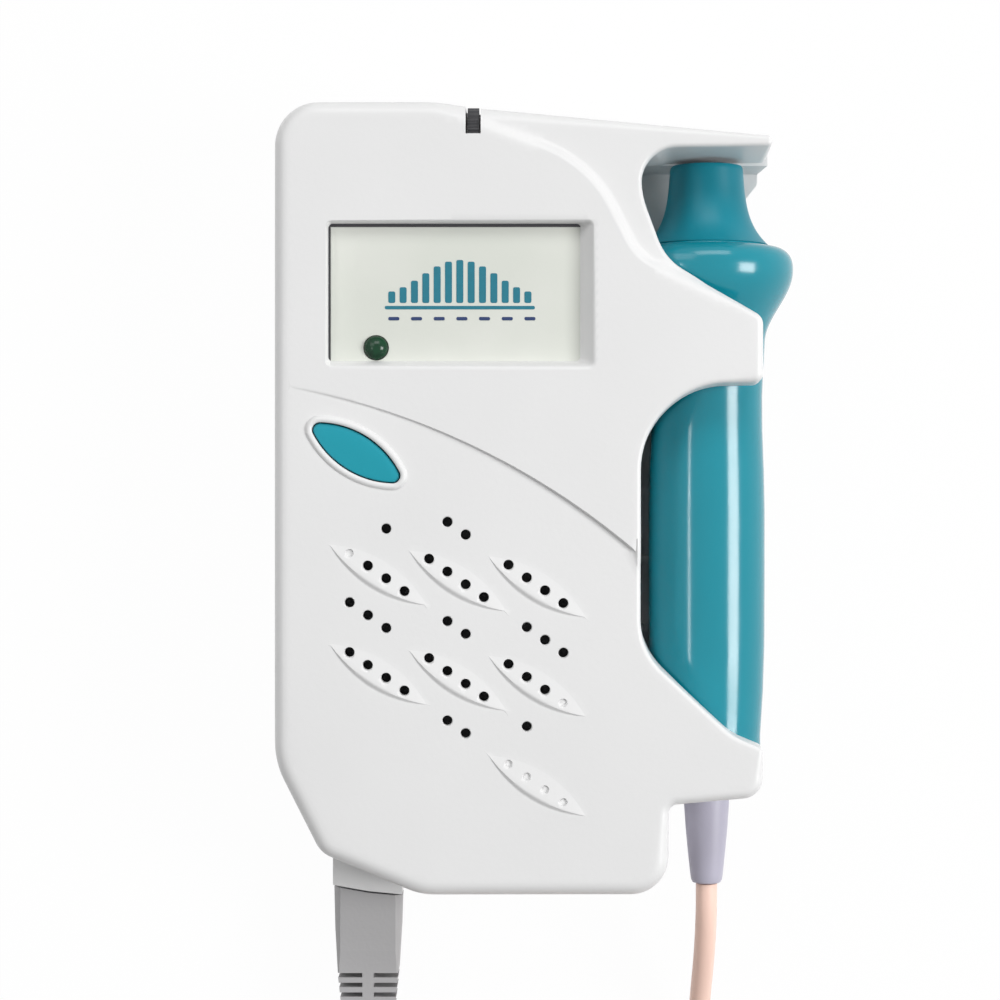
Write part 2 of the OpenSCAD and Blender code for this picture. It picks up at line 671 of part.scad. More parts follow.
module speaker_cloth() {
    color([0.08, 0.08, 0.09]) translate(concat(speaker_at, ceiling_z - cloth_t))
        cylinder(d = speaker_d - 0.4, h = cloth_t, $fn = 96);
}

module at_cells(x) {
    for (k = [0, 1])
        translate([x, bay_low_y + cell_d / 2 + 0.4 + k * cell_pitch, cell_z]) rotate([0, 90, 0]) children();
}

module battery_cells() {
    color([0.24, 0.27, 0.3]) at_cells(cells_from) {
        cylinder(d = cell_d, h = cell_l - 1.2, $fn = 64);
        cylinder(d = 5.4, h = cell_l, $fn = 32);
    }
}

module battery_springs() {
    color(metal_grey) at_cells(bay_from + 0.1) difference() {
        cylinder(d = 8, h = cells_from - bay_from - 0.3, $fn = 48);
        translate([0, 0, -1]) cylinder(d = 5, h = 8, $fn = 48);
    }
}

module battery_plates() {
    color(metal_grey) at_cells(bay_to - 0.7) translate([-4.5, -4.5, 0]) cube([9, 9, 0.6]);
}

module probe_socket() {
    w = block_w - 3.2 - 2 * fit;
    color(dark_grey) difference() {
        translate([socket_x - w / 2, socket_mouth_y, socket_z - 4.2]) cube([w, 11.1, 8.4]);
        translate([socket_x - socket_bore.x / 2, block_low_y - 1, socket_z - socket_bore.y / 2])
            cube([socket_bore.x, 11, socket_bore.y]);
        contact_bars(block_low_y + 9, 4);
    }
}

contact_xs = [-2.4, -0.8, 0.8, 2.4];
module contact_bars(y, l) {
    for (x = contact_xs) translate([socket_x + x - 0.3, y, socket_z - 0.3]) cube([0.6, l, 0.6]);
}
module socket_contacts() {
    color([0.85, 0.7, 0.3]) contact_bars(block_low_y + 9.7, 4);
}

module case_screws() {
    color(metal_grey) at_screws() {
        difference() {
            translate([0, 0, head_z - 2]) cylinder(d = head_d, h = 2, $fn = 32);
            translate([0, 0, head_z - 2.5]) cylinder(d = 1.6, h = 1.6, $fn = 6);
        }
        translate([0, 0, head_z - eps]) cylinder(d = screw_d - 0.1, h = parting_z + 6 - head_z, $fn = 24);
    }
}

// The probe turns about its own axis, which runs along Y. Points are [radius, y].
nose_low_y = 44.9;
collar_r = collar_d / 2;
handle_r = handle_d / 2;
face_r = face_d / 2;
function shoulder(a) = [nose_foot_r + (collar_r - nose_foot_r) * sin(a),
    collar_y + (nose_low_y - 0.4 - collar_y) * cos(a)];
nose_foot_r = 10.9;
module spun() {
    translate([probe_x, 0, probe_z]) rotate([-90, 0, 0]) rotate_extrude($fn = 96) children();
}
collar_low_y = 27.4;
function taper(s) = [handle_r + (collar_r - handle_r) * (1 - cos(180 * s)) / 2,
    collar_low_y + (collar_y - collar_low_y) * s];
handle_low_r = handle_r - 0.8;
foot_r = 2.6;

module probe_handle() {
    color(probe_teal) difference() {
        spun() polygon(concat(
            [[0, nose_low_y], [nose_foot_r - 0.2, nose_low_y]],
            [for (a = [0:15:90]) shoulder(a)],
            [for (s = [0.9:-0.1:0]) taper(s)],
            [[handle_r - 0.5, 18], [handle_r, 0], [handle_r, -26], [handle_low_r, -42]],
            [for (a = [0:22.5:90]) [handle_low_r - foot_r + foot_r * cos(a),
                probe_low_y + foot_r - foot_r * sin(a)]],
            [[0, probe_low_y]]));
        // the hollow inside, from the foot to the collar
        spun() polygon([[0, probe_low_y + probe_wall], [handle_low_r - probe_wall - 1, probe_low_y + probe_wall],
            [handle_low_r - probe_wall, -42], [handle_r - probe_wall, -26],
            [handle_r - probe_wall - 0.4, 18], [handle_r - probe_wall, 27],
            [nose_foot_r + 1, 38], [nose_foot_r - probe_wall - 0.4, nose_low_y + 1], [0, nose_low_y + 1]]);
        translate([probe_x, probe_low_y - 1, probe_z]) rotate([-90, 0, 0])
            cylinder(r = 3, h = 4, $fn = 48);
    }
}

// The nose widens from the face down to the collar in a hollow curve.
function nose_r(s) = face_r + 1.1 * s + (nose_foot_r - face_r - 1.1) * pow(s, 4);
module probe_nose() {
    h = probe_tip_y - nose_low_y;
    color(probe_teal) difference() {
        spun() polygon(concat(
            [[0, probe_tip_y], [face_r - 0.4, probe_tip_y]],
            [for (s = [0.03:0.097:1]) [nose_r(s), probe_tip_y - h * s]],
            [[nose_foot_r, nose_low_y], [nose_foot_r - probe_wall - 0.6, nose_low_y],
                [nose_foot_r - probe_wall - 0.6, nose_low_y - 2], [0, nose_low_y - 2]]));
        spun() polygon([[0, nose_low_y - 3], [nose_foot_r - 2 * probe_wall - 0.2, nose_low_y - 3],
            [nose_foot_r - 2 * probe_wall - 0.6, nose_low_y + 1], [face_r - 1.2, nose_low_y + 6],
            [face_r - 1.2, probe_tip_y + 1], [0, probe_tip_y + 1]]);
    }
}

module ring_seat(r, y, h) {
    translate([probe_x, y, probe_z]) rotate([-90, 0, 0]) cylinder(r = r, h = h, $fn = 64);
}

lens_t = 1.2;
module probe_lens() {
    color([0.55, 0.57, 0.6]) ring_seat(face_r - 1.3, probe_tip_y - lens_t, lens_t);
}

crystal_t = 0.6;
module probe_crystals() {
    color([0.8, 0.76, 0.62]) difference() {
        ring_seat(face_r - 1.5, probe_tip_y - lens_t - crystal_t, crystal_t);
        translate([probe_x - 0.25, probe_tip_y - 4, probe_z - 10]) cube([0.5, 8, 20]);
    }
}

module probe_backing() {
    color(dark_grey) ring_seat(face_r - 1.4, probe_tip_y - lens_t - crystal_t - 5.5, 5.5);
}

module probe_board() {
    w = 2 * (handle_r - probe_wall) - 1.2;
    color(board_green) translate([probe_x - w / 2, -22, probe_z - 0.6]) cube([w, 46, 1.2]);
}

boot_end_y = -68.3;
module probe_boot() {
    color(boot_grey) spun() polygon([[0, probe_low_y + probe_wall + 1.4],
        [4.4, probe_low_y + probe_wall + 1.4], [4.4, probe_low_y + probe_wall],
        [2.95, probe_low_y + probe_wall], [2.95, probe_low_y], [4.1, probe_low_y - 0.1],
        [3.95, -54.5], [2.85, -67], [2.6, -67.9], [cable_d / 2, boot_end_y], [0, boot_end_y]]);
}

// A tube along points, as one skin with closed ends. Its ends run along Y, square to what they meet.
function tangent(path, i) =
    let (d = path[min(i + 1, len(path) - 1)] - path[max(i - 1, 0)])
    unit(i == 0 || i == len(path) - 1 ? [0, d.y, 0] : d);
module tube(path, d, sides) {
    n = len(path);
    rings = [for (i = [0:n - 1])
        let (t = tangent(path, i), s = unit(cross(t, [0, 0, 1])), u = cross(s, t))
        for (k = [0:sides - 1]) path[i] + d / 2 * (cos(360 * k / sides) * s + sin(360 * k / sides) * u)];
    faces = concat(
        [for (i = [0:n - 2], k = [0:sides - 1])
            let (j = (k + 1) % sides, a = i * sides, b = a + sides)
            each [[a + k, b + j, a + j], [a + k, b + k, b + j]]],
        [for (k = [1:sides - 2]) [0, k, k + 1]],
        [for (k = [1:sides - 2]) [(n - 1) * sides, (n - 1) * sides + k + 1, (n - 1) * sides + k]]);
    polyhedron(rings, faces);
}

// A smooth curve through points chosen by hand.
function blend(a, b, c, d, s) = 0.5 * (2 * b + (c - a) * s
    + (2 * a - 5 * b + 4 * c - d) * s * s + (3 * b - a - 3 * c + d) * s * s * s);
function curve(points, steps) = concat(
    [for (i = [0:len(points) - 2], k = [0:steps - 1])
        blend(points[max(i - 1, 0)], points[i], points[i + 1], points[min(i + 2, len(points) - 1)],
            k / steps)],
    [points[len(points) - 1]]);

// The coil lies on the table below the unit: in on the lower layer, out on the upper one.
coil_at = [3, -140];
coil_r = 29.5;
coil_step = 4.4;
coil_turns = 8.5;
layer_step = 4.3;
lie_z = 1.95;
loop_rings = 24;
half_turn = coil_turns * 180;
function coil_radius(a) = coil_r - coil_step * (half_turn - abs(a - half_turn)) / 360;
function coil_rise(a) = a < half_turn - 90 ? 0 : a > half_turn + 90 ? layer_step :
    layer_step * (1 - cos(a - half_turn + 90)) / 2;
function coil_point(a) = [coil_at.x + coil_radius(a) * cos(a), coil_at.y - coil_radius(a) * sin(a),
    lie_z + coil_rise(a)];
coil_start = coil_point(0) + [0, cable_d, 0];
coil_end = coil_point(2 * half_turn) + [0, cable_d, 0];
coil_path = concat([coil_start],
    [for (k = [0:coil_turns * loop_rings]) coil_point(360 * k / loop_rings)], [coil_end]);
// Least distance between turns, less the tube's own diameter.
coil_gap = min([for (i = [0:2:len(coil_path) - 1], j = [i + 12:len(coil_path) - 1])
    norm(coil_path[i] - coil_path[j])]) - cable_d;
echo(least_gap_between_turns = coil_gap);

plug_end_y = plug_mouth_y - plug_l;
lead_route = [[probe_x, boot_end_y, probe_z], [33.3, -74, 16], [33.2, -81, 13.2], [32.9, -89, 8.8],
    [32.6, -97, 4.8], [32.5, -105, 2.5], [32.5, -113, 1.95], [32.5, -124, 1.95], coil_start];
plug_route = [[socket_x, plug_end_y, socket_z], [-27, -111, 9.5], [-26.8, -118, 7.8],
    [-26.6, -126, 6.5], coil_end];

module probe_lead() {
    color(cable_beige) tube(curve(lead_route, 3), cable_d, 8);
}

module cable_coil() {
    color(cable_beige) tube(coil_path, cable_d, 6);
}

module plug_lead() {
    color(cable_beige) tube(curve(plug_route, 3), cable_d, 8);
}

// The plug narrows from its mouth to the relief, whose slots leave a spine and narrow bridges.
relief_y = plug_mouth_y - 14.4;
slot_pitch = 1.75;
slot_count = floor((relief_y - plug_end_y - 2) / slot_pitch);
spine_w = 2;
plug_end_w = cable_d + 1.4;
function plug_half_w(y) = lookup(y, [
    [plug_end_y, plug_end_w / 2], [relief_y - 12, plug_w / 2 - 1.9], [relief_y, plug_w / 2 - 0.7],
    [relief_y + 8, plug_w / 2 - 0.2], [plug_mouth_y, plug_w / 2]]);
module plug_body() {
    ys = [plug_mouth_y, relief_y + 8, relief_y, relief_y - 12, plug_end_y];
    color(plug_grey) difference() {
        intersection() {
            translate([socket_x, 0, socket_z - plug_t]) linear_extrude(2 * plug_t)
                polygon(concat(
                    [[-plug_w / 2, plug_mouth_y + block_slant[0]], [0, plug_mouth_y],
                        [plug_w / 2, plug_mouth_y + block_slant[1]]],
                    [for (y = ys) if (y < plug_mouth_y) [plug_half_w(y), y]],
                    [for (y = reversed(ys)) if (y < plug_mouth_y) [-plug_half_w(y), y]]));
            translate([socket_x - plug_w, 0, socket_z]) rotate([90, 0, 90]) linear_extrude(2 * plug_w)
                polygon([[plug_mouth_y + 1, plug_t / 2], [relief_y + 4, plug_t / 2],
                    [relief_y - 12, plug_t / 2 - 1], [plug_end_y, plug_end_w / 2],
                    [plug_end_y, -plug_end_w / 2], [relief_y - 12, 1 - plug_t / 2],
                    [relief_y + 4, -plug_t / 2], [plug_mouth_y + 1, -plug_t / 2]]);
            translate([socket_x, plug_mouth_y + 2, socket_z]) rotate([90, 0, 0])
                cylinder(r = norm([plug_w, plug_t]) / 2 - 0.9, h = plug_l + 4, $fn = 64);
        }
        for (k = [0:slot_count - 1], s = [-1, 1]) let (y = relief_y - slot_pitch * k)
            translate([socket_x + s * (spine_w / 2 + plug_w / 2), y - 0.4, socket_z])
                cube([plug_w, 0.8, 2 * plug_t], center = true);
        shell_block(plug_mouth_y - 1.4, 4, 0);
    }
}

shell_l = 9.5;
module shell_block(y, l, in) {
    w = socket_bore.x - 2 * fit - 2 * in;
    h = socket_bore.y - 2 * fit - 2 * in;
    translate([socket_x - w / 2, y, socket_z - h / 2]) cube([w, l, h]);
}
module plug_shell() {
    color(metal_grey) difference() {
        shell_block(plug_mouth_y - 1.4, shell_l, 0);
        shell_block(plug_mouth_y + 1.4, shell_l, 0.6);
    }
}

module plug_contacts() {
    color([0.85, 0.7, 0.3]) contact_bars(plug_mouth_y + 1.4, 5.6);
}

front_housing();
rear_housing();
battery_door();
display_panel();
led_lens();
main_board();
board_chips();
board_screws();
power_switch();
power_button();
volume_pot();
volume_wheel();
headphone_jack();
speaker_frame();
speaker_cone();
speaker_magnet();
speaker_cloth();
battery_cells();
battery_springs();
battery_plates();
probe_socket();
socket_contacts();
case_screws();
probe_handle();
probe_nose();
probe_lens();
probe_crystals();
probe_backing();
probe_board();
probe_boot();
probe_lead();
cable_coil();
plug_lead();
plug_body();
plug_shell();
plug_contacts();
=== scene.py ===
# Looks of the pocket vascular doppler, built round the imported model.
import bpy
import bmesh
import math
import numpy as np
from mathutils import Matrix, Vector
from mathutils.geometry import delaunay_2d_cdt
from mathutils.kdtree import KDTree


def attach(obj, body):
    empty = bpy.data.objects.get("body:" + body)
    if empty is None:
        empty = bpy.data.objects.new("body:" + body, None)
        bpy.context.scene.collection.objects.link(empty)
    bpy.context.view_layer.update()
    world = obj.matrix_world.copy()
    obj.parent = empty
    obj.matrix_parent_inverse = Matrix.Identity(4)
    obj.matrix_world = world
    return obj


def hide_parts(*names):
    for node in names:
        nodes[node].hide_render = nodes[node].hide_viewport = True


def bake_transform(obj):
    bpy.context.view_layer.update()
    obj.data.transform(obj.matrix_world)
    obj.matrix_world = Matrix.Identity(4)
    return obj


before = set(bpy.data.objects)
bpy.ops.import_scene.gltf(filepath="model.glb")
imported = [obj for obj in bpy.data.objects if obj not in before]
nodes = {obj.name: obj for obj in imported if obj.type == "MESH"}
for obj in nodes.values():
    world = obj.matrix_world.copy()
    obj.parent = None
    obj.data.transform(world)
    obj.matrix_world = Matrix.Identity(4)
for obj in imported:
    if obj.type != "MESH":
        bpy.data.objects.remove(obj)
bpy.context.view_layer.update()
MM = 0.001

# Camera

camera_data = bpy.data.cameras.new("camera")
camera = bpy.data.objects.new("camera", camera_data)
bpy.context.scene.collection.objects.link(camera)
bpy.context.scene.camera = camera
EYE_HEIGHT = 470 * MM
FIELD = 178 * MM  # width of the view at the joint between the housings
JOINT_HEIGHT = 16 * MM
SENSOR = 36
camera.location = (-3.4 * MM, -0.27 * MM, EYE_HEIGHT)
camera_data.sensor_width = SENSOR
camera_data.lens = SENSOR * (EYE_HEIGHT - JOINT_HEIGHT) / FIELD
camera_data.clip_start = 0.01


# Meshes

def shade(obj, angle=32):
    """Smooth faces, with sharp edges where they meet at more than that angle."""
    obj.data.polygons.foreach_set("use_smooth", [True] * len(obj.data.polygons))
    obj.data.set_sharp_from_angle(angle=math.radians(angle))


def mesh_object(name, points, faces, angle=32):
    """An object from points in millimetres."""
    mesh = bpy.data.meshes.new(name)
    mesh.from_pydata([tuple(c * MM for c in p) for p in points], [], faces)
    mesh.update()
    obj = bpy.data.objects.new(name, mesh)
    bpy.context.scene.collection.objects.link(obj)
    shade(obj, angle)
    return obj


def prism(outline, low, high):
    """Points and faces of a prism over a counter-clockwise outline."""
    n = len(outline)
    points = [(p[0], p[1], z) for z in (low, high) for p in outline]
    faces = [tuple(reversed(range(n))), tuple(range(n, 2 * n))]
    faces += [(i, (i + 1) % n, n + (i + 1) % n, n + i) for i in range(n)]
    return points, faces


def block(low, high):
    """Points and faces of a box between two corners."""
    x0, y0, z0 = low
    x1, y1, z1 = high
    return prism([(x0, y0), (x1, y0), (x1, y1), (x0, y1)], z0, z1)


def stacked(rings):
    """Points and faces of a closed form over rings of equal count, from the lowest to the highest."""
    n = len(rings[0])
    last = len(rings) - 1
    faces = [tuple(reversed(range(n)))]
    for k in range(last):
        faces += [(k * n + i, k * n + (i + 1) % n, (k + 1) * n + (i + 1) % n, (k + 1) * n + i)
                  for i in range(n)]
    faces.append(tuple(last * n + i for i in range(n)))
    return [p for ring in rings for p in ring], faces


def joined(*parts):
    """Points and faces of several parts as one."""
    points, faces = [], []
    for p, f in parts:
        faces += [tuple(i + len(points) for i in face) for face in f]
        points += p
    return points, faces


def rounded_box(x0, x1, y0, y1, r, step):
    """Outline of a box with round corners, counter-clockwise, with an arc point every so many degrees."""
    out = []
    for cx, cy, first in ((x1 - r, y1 - r, 0), (x0 + r, y1 - r, 90), (x0 + r, y0 + r, 180),
                          (x1 - r, y0 + r, 270)):
        out += [(cx + r * math.cos(a), cy + r * math.sin(a))
                for a in np.radians(first + np.arange(0, 91, step))]
    return out


def circle(x, y, r, count=32):
    return [(x + r * math.cos(2 * math.pi * k / count), y + r * math.sin(2 * math.pi * k / count))
            for k in range(count)]


def turned(part, axis, at):
    """Turns a part made along Z to another axis, and moves it to a place."""
    points, faces = part
    turn = {"x": lambda p: (p[2], p[0], p[1]), "y": lambda p: (p[1], p[2], p[0])}[axis]
    return [tuple(a + b for a, b in zip(turn(p), at)) for p in points], faces


def rod(axis, at, r, length, count=48):
    """A round bar along X or Y from a place."""
    return turned(prism(circle(0, 0, r, count), 0, length), axis, at)


def carve(obj, operation, parts):
    """Joins parts to an object, or cuts them out of it, with exact booleans."""
    tools = bpy.data.collections.new("tools")
    made = []
    for k, (points, faces) in enumerate(parts):
        tool = mesh_object(f"tool_{k}", points, faces)
        bpy.context.scene.collection.objects.unlink(tool)
        tools.objects.link(tool)
        made.append(tool)
    step = obj.modifiers.new("carve", "BOOLEAN")
    step.operation = operation
    step.operand_type = "COLLECTION"
    step.collection = tools
    step.solver = "EXACT"
    apply_steps(obj)
    for tool in made:
        bpy.data.meshes.remove(tool.data)
    bpy.data.collections.remove(tools)


def apply_steps(obj):
    """Replaces an object's mesh by the one that its modifiers give."""
    bpy.context.view_layer.update()
    whole = obj.evaluated_get(bpy.context.evaluated_depsgraph_get())
    mesh = bpy.data.meshes.new_from_object(whole)
    obj.modifiers.clear()
    old = obj.data
    obj.data = mesh
    bpy.data.meshes.remove(old)


def lathe(name, profile, centre, count=128, angle=32):
    """A solid of revolution about an axis along Y. The closed profile holds (radius, y)."""
    points, index = [], []
    for r, y in profile:
        if r < 1e-6:
            index.append([len(points)] * count)
            points.append((centre[0], y, centre[1]))
            continue
        index.append([len(points) + k for k in range(count)])
        for k in range(count):
            a = 2 * math.pi * k / count
            points.append((centre[0] + r * math.cos(a), y, centre[1] + r * math.sin(a)))
    faces = []
    rings = len(profile)
    for i in range(rings):
        a, b = index[i], index[(i + 1) % rings]
        if a[0] == a[1] and b[0] == b[1]:
            continue
        for k in range(count):
            j = (k + 1) % count
            face = tuple(dict.fromkeys((a[k], a[j], b[j], b[k])))
            if len(face) > 2:
                faces.append(face)
    obj = mesh_object(name, points, faces, angle)
    work = bmesh.new()
    work.from_mesh(obj.data)
    bmesh.ops.recalc_face_normals(work, faces=work.faces)
    work.to_mesh(obj.data)
    work.free()
    shade(obj, angle)
    return obj


# Shader maths as expressions

class Value:
    """A socket of a material's node tree, with the operator that the finishes use."""

    def __init__(self, make, socket):
        self.make = make
        self.socket = socket

    def __mul__(self, other):
        return self.make.node("ShaderNodeMath", {"operation": "MULTIPLY"}, {0: self, 1: other})

    __rmul__ = __mul__


class Finish:
    """One material, made from nodes."""

    def __init__(self, name):
        self.material = bpy.data.materials.new(name)
        self.material.use_nodes = True
        self.tree = self.material.node_tree
        self.shader = self.tree.nodes["Principled BSDF"]
        self.spot = self.node("ShaderNodeTexCoord", {}, {}, "Object")

    def node(self, kind, settings, values, output=0):
        """Adds a node with its settings and the values or links of its sockets."""
        made = self.tree.nodes.new(kind)
        for key, value in settings.items():
            setattr(made, key, value)
        for key, value in values.items():
            self.feed(made.inputs[key], value)
        return Value(self, made.outputs[output])

    def feed(self, socket, value):
        if isinstance(value, Value):
            self.tree.links.new(value.socket, socket)
        elif isinstance(value, tuple) and len(value) == 3 and socket.type == "RGBA":
            socket.default_value = (*value, 1)
        else:
            socket.default_value = value

    def noise(self, scale, detail):
        return self.node("ShaderNodeTexNoise", {}, {"Vector": self.spot, "Scale": scale, "Detail": detail})

    def mix(self, share, first, second):
        return self.node("ShaderNodeMix", {"data_type": "RGBA"},
                         {"Factor": share, 6: first, 7: second}, 2)

    def spread(self, value, low, high, to_low, to_high):
        return self.node("ShaderNodeMapRange", {},
                         {0: value, 1: low, 2: high, 3: to_low, 4: to_high})

    def bump(self, height, distance):
        normal = self.node("ShaderNodeBump", {}, {"Height": height, "Distance": distance, "Strength": 1.0})
        self.feed(self.shader.inputs["Normal"], normal)

    def set(self, **values):
        for key, value in values.items():
            self.feed(self.shader.inputs[key.replace("_", " ")], value)


def linear(r, g, b):
    """A colour given as a screen shows it, from 0 to 255."""
    def one(c):
        c = c / 255
        return c / 12.92 if c <= 0.04045 else ((c + 0.055) / 1.055) ** 2.4
    return (one(r), one(g), one(b))


def moulded(name, colour, rough, coat=0.0, grain=900, depth=0.00002, speck=0.03, shine=0.5):
    """Moulded plastic: even colour with a faint drift, and a fine grain."""
    f = Finish(name)
    drift = f.noise(22, 3)
    darker = tuple(c * (1 - speck) for c in colour)
    f.set(Base_Color=f.mix(f.spread(drift, 0.35, 0.65, 0, 1), colour, darker))
    f.set(Roughness=f.spread(f.noise(160, 3), 0.3, 0.7, rough - 0.03, rough + 0.03))
    f.set(Coat_Weight=coat, Coat_Roughness=0.08, Specular_IOR_Level=shine)
    f.bump(f.noise(grain, 2), depth)
    return f.material


housing_white = moulded("housing_white", linear(229, 229, 229), 0.42, coat=0.08, shine=0.35)
teal_gloss = moulded("teal_gloss", linear(10, 136, 153), 0.16, grain=300, depth=0.00001, shine=0.42)
teal_satin = moulded("teal_satin", linear(8, 126, 144), 0.4, grain=500, depth=0.00001, shine=0.3)
button_teal = moulded("button_teal", linear(30, 150, 167), 0.38, shine=0.3)
dark_plastic = moulded("dark_plastic", linear(46, 46, 50), 0.5)
plug_grey = moulded("plug_grey", linear(174, 173, 174), 0.5, grain=1400, depth=0.00004)
boot_grey = moulded("boot_grey", linear(186, 183, 199), 0.4)
cable_skin = moulded("cable_skin", linear(252, 216, 200), 0.42, grain=1200)
board_green = moulded("board_green", linear(30, 104, 62), 0.35, coat=0.3)
chip_black = moulded("chip_black", linear(34, 34, 36), 0.45)
magnet_grey = moulded("magnet_grey", linear(62, 62, 66), 0.6)
crystal_cream = moulded("crystal_cream", linear(214, 205, 180), 0.5)
lens_grey = moulded("lens_grey", linear(150, 156, 164), 0.3)


def metal(name, colour, rough):
    """Plated metal with fine rubbing marks."""
    f = Finish(name)
    f.set(Metallic=1.0, Base_Color=colour)
    scratches = f.noise(900, 4)
    f.set(Roughness=f.spread(scratches, 0.3, 0.7, rough - 0.06, rough + 0.08))
    f.bump(scratches, 0.000004)
    return f.material


steel = metal("steel", linear(196, 198, 202), 0.3)
gold = metal("gold", linear(222, 186, 110), 0.25)


def woven(name, colour):
    """Fine cloth behind the sound holes, and the pressed paper of the speaker."""
    f = Finish(name)
    along, across = (f.node("ShaderNodeTexWave", {"wave_type": "BANDS", "bands_direction": direction},
                            {"Vector": f.spot, "Scale": 1800.0, "Distortion": 0.4}) for direction in "XY")
    cross = along * across
    f.set(Base_Color=f.mix(cross, colour, tuple(c * 1.8 for c in colour)), Roughness=0.9)
    f.bump(cross, 0.00006)
    return f.material


cloth_black = woven("cloth_black", linear(14, 14, 16))
paper_dark = woven("paper_dark", linear(36, 36, 40))


def panel_finish():
    """Pale display plate with a faint drift of its colour."""
    f = Finish("panel_pale")
    drift = f.spread(f.noise(40, 2), 0.4, 0.6, 0, 1)
    f.set(Base_Color=f.mix(drift, linear(218, 220, 213), linear(212, 215, 207)))
    f.set(Roughness=0.35, Coat_Weight=0.1, Coat_Roughness=0.1)
    f.bump(f.noise(700, 2), 0.00001)
    return f.material


def printed(name, colour):
    """Printing ink on the display."""
    f = Finish(name)
    drift = f.spread(f.noise(900, 3), 0.4, 0.6, 0, 1)
    f.set(Base_Color=f.mix(drift, colour, tuple(c * 0.93 for c in colour)))
    f.set(Roughness=0.45)
    return f.material


panel_pale = panel_finish()
print_teal = printed("print_teal", linear(20, 112, 131))
print_navy = printed("print_navy", linear(28, 50, 96))


def lamp_green():
    """The indicator's lens, unlit."""
    f = Finish("lamp_green")
    drift = f.spread(f.noise(700, 2), 0.3, 0.7, 0, 1)
    f.set(Base_Color=f.mix(drift, linear(1, 48, 26), linear(3, 60, 33)))
    f.set(Roughness=0.2, Specular_IOR_Level=0.3)
    return f.material


def cell_wrap():
    """A cell's sleeve, in two plain bands along its length."""
    f = Finish("cell_wrap")
    band = f.node("ShaderNodeSeparateXYZ", {}, {0: f.spot})
    f.set(Base_Color=f.mix(f.spread(band, 0.0, 0.0005, 0, 1), linear(70, 86, 104), linear(196, 160, 96)))
    f.set(Roughness=0.3, Metallic=0.6)
    return f.material


green_lamp = lamp_green()
cell_skin = cell_wrap()


def dress(obj, material):
    obj.data.materials.clear()
    obj.data.materials.append(material)


# Cords: the probe's lead with the coil, and the plug's lead

CABLE = 3.8
BOOT_END = (33.3, -68.3, 16.6)
COIL_AT = (3, -140)
COIL_R = 29.5
COIL_STEP = 4.4
COIL_TURNS = 8.5
LAYER_STEP = 4.3
LIE = 1.95  # height of the cable's middle where it lies
PLUG_END_Y = -106.4
SOCKET = (-27, 10)  # x and z of the probe socket


def coil_point(turn):
    """A point of the coil after so many turns: inwards on the lower layer, outwards on the upper one."""
    angle = 2 * math.pi * turn
    half = COIL_TURNS / 2
    r = COIL_R - COIL_STEP * (half - abs(turn - half))
    swing = min(max((turn - half + 0.25) * 2, 0), 1)
    rise = LAYER_STEP * (1 - math.cos(math.pi * swing)) / 2
    return (COIL_AT[0] + r * math.cos(angle), COIL_AT[1] - r * math.sin(angle), LIE + rise)


coil_start = tuple(a + b for a, b in zip(coil_point(0), (0, CABLE, 0)))
coil_end = tuple(a + b for a, b in zip(coil_point(COIL_TURNS), (0, CABLE, 0)))
COIL_RINGS = 48
coil_route = [coil_point(k / COIL_RINGS) for k in range(int(COIL_TURNS * COIL_RINGS) + 1)]
lead_route = [BOOT_END, (33.3, -74, 16), (33.2, -81, 13.2), (32.9, -89, 8.8), (32.6, -97, 4.8),
              (32.5, -105, 2.5), (32.5, -113, 1.95), (32.5, -124, 1.95), coil_start]
plug_route = [(SOCKET[0], PLUG_END_Y, SOCKET[1]), (-27, -111, 9.5), (-26.8, -118, 7.8), (-26.6, -126, 6.5),
              coil_end]


def smooth_route(route, steps=8):
    """A smooth curve through given points."""
    out = []
    p = [Vector(q) for q in route]
    for i in range(len(p) - 1):
        a, b, c, d = p[max(i - 1, 0)], p[i], p[i + 1], p[min(i + 2, len(p) - 1)]
        for k in range(steps):
            s = k / steps
            out.append(0.5 * (2 * b + (c - a) * s + (2 * a - 5 * b + 4 * c - d) * s * s
                              + (3 * b - a - 3 * c + d) * s ** 3))
    out.append(p[-1])
    return out


def tube(name, path, diameter, sides=16):
    """A closed tube along a path in millimetres."""
    points, faces = [], []
    path = [Vector(p) for p in path]
    n = len(path)
    for i, p in enumerate(path):
        t = (path[min(i + 1, n - 1)] - path[max(i - 1, 0)]).normalized()
        s = t.cross(Vector((0, 0, 1))).normalized()
        u = s.cross(t)
        for k in range(sides):
            a = 2 * math.pi * k / sides
            points.append(p + diameter / 2 * (math.cos(a) * s + math.sin(a) * u))
    for i in range(n - 1):
        for k in range(sides):
            j = (k + 1) % sides
            faces.append((i * sides + k, (i + 1) * sides + k, (i + 1) * sides + j, i * sides + j))
    faces.append(tuple(range(sides)))
    faces.append(tuple((n - 1) * sides + k for k in reversed(range(sides))))
    return mesh_object(name, points, faces, 60)


def metres(path):
    """A path in metres, from one in millimetres."""
    return [tuple(c * MM for c in p) for p in path]


def length_of(path):
    return sum((Vector(b) - Vector(a)).length for a, b in zip(path, path[1:]))


probe_path = smooth_route(lead_route)[:-1] + [Vector(coil_start)] + [Vector(p) for p in coil_route] \
    + [Vector(coil_end)]
probe_cable = tube("probe_cable", probe_path, CABLE)
dress(probe_cable, cable_skin)
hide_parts("probe_lead", "cable_coil")
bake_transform(probe_cable)
metres([BOOT_END])[0]
length_of(metres(probe_path))
metres(probe_path)

plug_path = list(reversed(smooth_route(plug_route)))
plug_cable = tube("plug_cable", plug_path, CABLE)
dress(plug_cable, cable_skin)
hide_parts("plug_lead")
metres([coil_end])[0]
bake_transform(plug_cable)
metres([coil_end])[0]
length_of(metres(plug_path))
metres(plug_path)

# Housing dimensions, in millimetres

